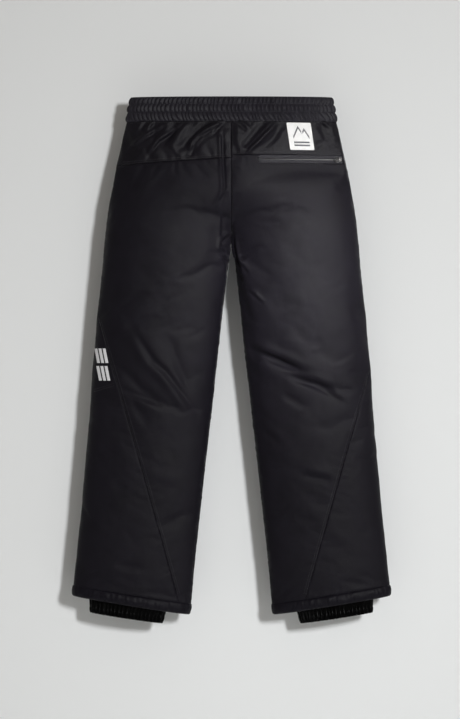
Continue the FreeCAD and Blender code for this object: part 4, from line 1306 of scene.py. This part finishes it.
tab = strap("waist_tab_cloth", (-0.0271, 0.026), 0.018, (0.0048, 0.0070), 5.0, 0.0001)
tab_outline = [(-0.022, -0.0145), (0.0215, -0.0145), (0.0228, -0.012)]
tab_outline += [(x, -y) for x, y in tab_outline[::-1]]
tab_stitches = strap_stitches("waist_tab_stitching", tab_outline, 0.0071)
anchor = strap("waist_tab_anchor_cloth", (-0.046, -0.0274), 0.018, (0.0017, 0.0046), 7.0, 0.0001)
anchor_outline = [(-0.0435, -0.0155), (-0.030, -0.0155)]
anchor_outline += [(x, -y) for x, y in anchor_outline[::-1]]
anchor_stitches = strap_stitches("waist_tab_anchor_stitching", anchor_outline, 0.0047)
fasten(tab, ["waist_tab"], body="waist_tab")
fasten(tab_stitches, body="waist_tab")
fasten(anchor, ["waist_tab_anchor"])
fasten(anchor_stitches)

# ---- hardware kept from the CAD -------------------------------------------------------------------
KEPT = {
    COIL: ["rear_zip_coil", "hand_zip_coil", "fly_zip_coil", "zip_stops"],
    PULL: ["rear_pull", "hand_pull_left", "hand_pull_right", "fly_pull"],
    GUNMETAL: ["rear_slider", "hand_slider_left", "hand_slider_right", "fly_slider"]
    + ["snap_stud", "snap_socket", "snap_cap"],
}
for material, names in KEPT.items():
    for name in names:
        mesh = frame["nodes"][name].data
        mesh.materials.clear()
        mesh.materials.append(material)

# ---- studio ---------------------------------------------------------------------------------------
def backdrop_material():
    """Pale matt card that can't be seen from behind and casts no shadow."""
    mat, nodes, links, bsdf = node_material("backdrop")
    bsdf.inputs["Base Color"].default_value = (0.83, 0.845, 0.845, 1)
    bsdf.inputs["Roughness"].default_value = 0.9
    clear = nodes.new("ShaderNodeBsdfTransparent")
    behind = nodes.new("ShaderNodeNewGeometry")
    shadow = nodes.new("ShaderNodeLightPath").outputs["Is Shadow Ray"]
    mix = nodes.new("ShaderNodeMixShader")
    links.new(math_node(nodes, links, "MAXIMUM", behind.outputs["Backfacing"], shadow), mix.inputs[0])
    links.new(bsdf.outputs[0], mix.inputs[1])
    links.new(clear.outputs[0], mix.inputs[2])
    links.new(mix.outputs[0], nodes["Material Output"].inputs["Surface"])
    return mat


WALL_Y, FLOOR_Z = 0.066, -0.62
profile = [(-7.0, FLOOR_Z), (WALL_Y - 0.3, FLOOR_Z)]
sweep = np.linspace(0.15, math.pi / 2, 10)
profile += [(WALL_Y - 0.3 + 0.3 * math.sin(a), FLOOR_Z + 0.3 - 0.3 * math.cos(a)) for a in sweep]
profile += [(WALL_Y, 3.2)]
verts = [(x, y, z) for y, z in profile for x in (-4.0, 4.0)]
cove = new_object("studio_cove", verts, grid_faces(len(profile), 2), backdrop_material())
if cove.data.polygons[0].normal.z < 0:
    cove.data.flip_normals()


def area_light(name, place, target, size, power, color=(1, 1, 1), spread=180):
    data = bpy.data.lights.new(name, "AREA")
    data.shape, data.size, data.size_y = "RECTANGLE", size[0], size[1]
    data.energy, data.color, data.spread = power, color, math.radians(spread)
    obj = bpy.data.objects.new(name, data)
    obj.location = place
    obj.rotation_euler = (Vector(target) - Vector(place)).to_track_quat("-Z", "Y").to_euler()
    bpy.context.scene.collection.objects.link(obj)
    return obj


area_light("key", (1.75, -4.4, 1.45), (0.12, 0, 0.28), (0.45, 0.6), 26, (0.985, 0.99, 1.0), 78)
side = area_light("side", (1.35, -1.0, 1.5), (0.12, 0, 0.70), (0.35, 0.5), 0.8)
thigh = area_light("thigh", (0.75, -2.3, 1.75), (0.13, 0, 0.66), (0.25, 0.25), 0.62, spread=13)
area_light("fill", (-2.4, -3.2, 0.9), (0, 0, 0.4), (2.4, 2.4), 1.5)
area_light("back_fill", (1.0, 3.2, 1.3), (0, 0, 0.5), (1.6, 1.6), 90)
# These two light the pants only, so that they leave no bright patch on the card.
lit = bpy.data.collections.new("lit_by_accents")
for obj in bpy.context.scene.objects:
    if obj.type == "MESH" and obj is not cove:
        lit.objects.link(obj)
for lamp in (side, thigh):
    lamp.light_linking.receiver_collection = lit
world = bpy.data.worlds.new("studio")
world.use_nodes = True
world.node_tree.nodes["Background"].inputs["Color"].default_value = (1.0, 0.93, 0.85, 1)
world.node_tree.nodes["Background"].inputs["Strength"].default_value = 0.23
bpy.context.scene.world = world
bpy.context.scene.view_settings.view_transform = "Standard"

camera = bpy.data.objects.new("camera", bpy.data.cameras.new("camera"))
camera.data.lens, camera.data.sensor_width = 125, 36
camera.data.clip_end = 50
camera.location = (-0.003, -5.0, 0.528)
camera.rotation_euler = (math.pi / 2, 0, 0)
bpy.context.scene.collection.objects.link(camera)
bpy.context.scene.camera = camera
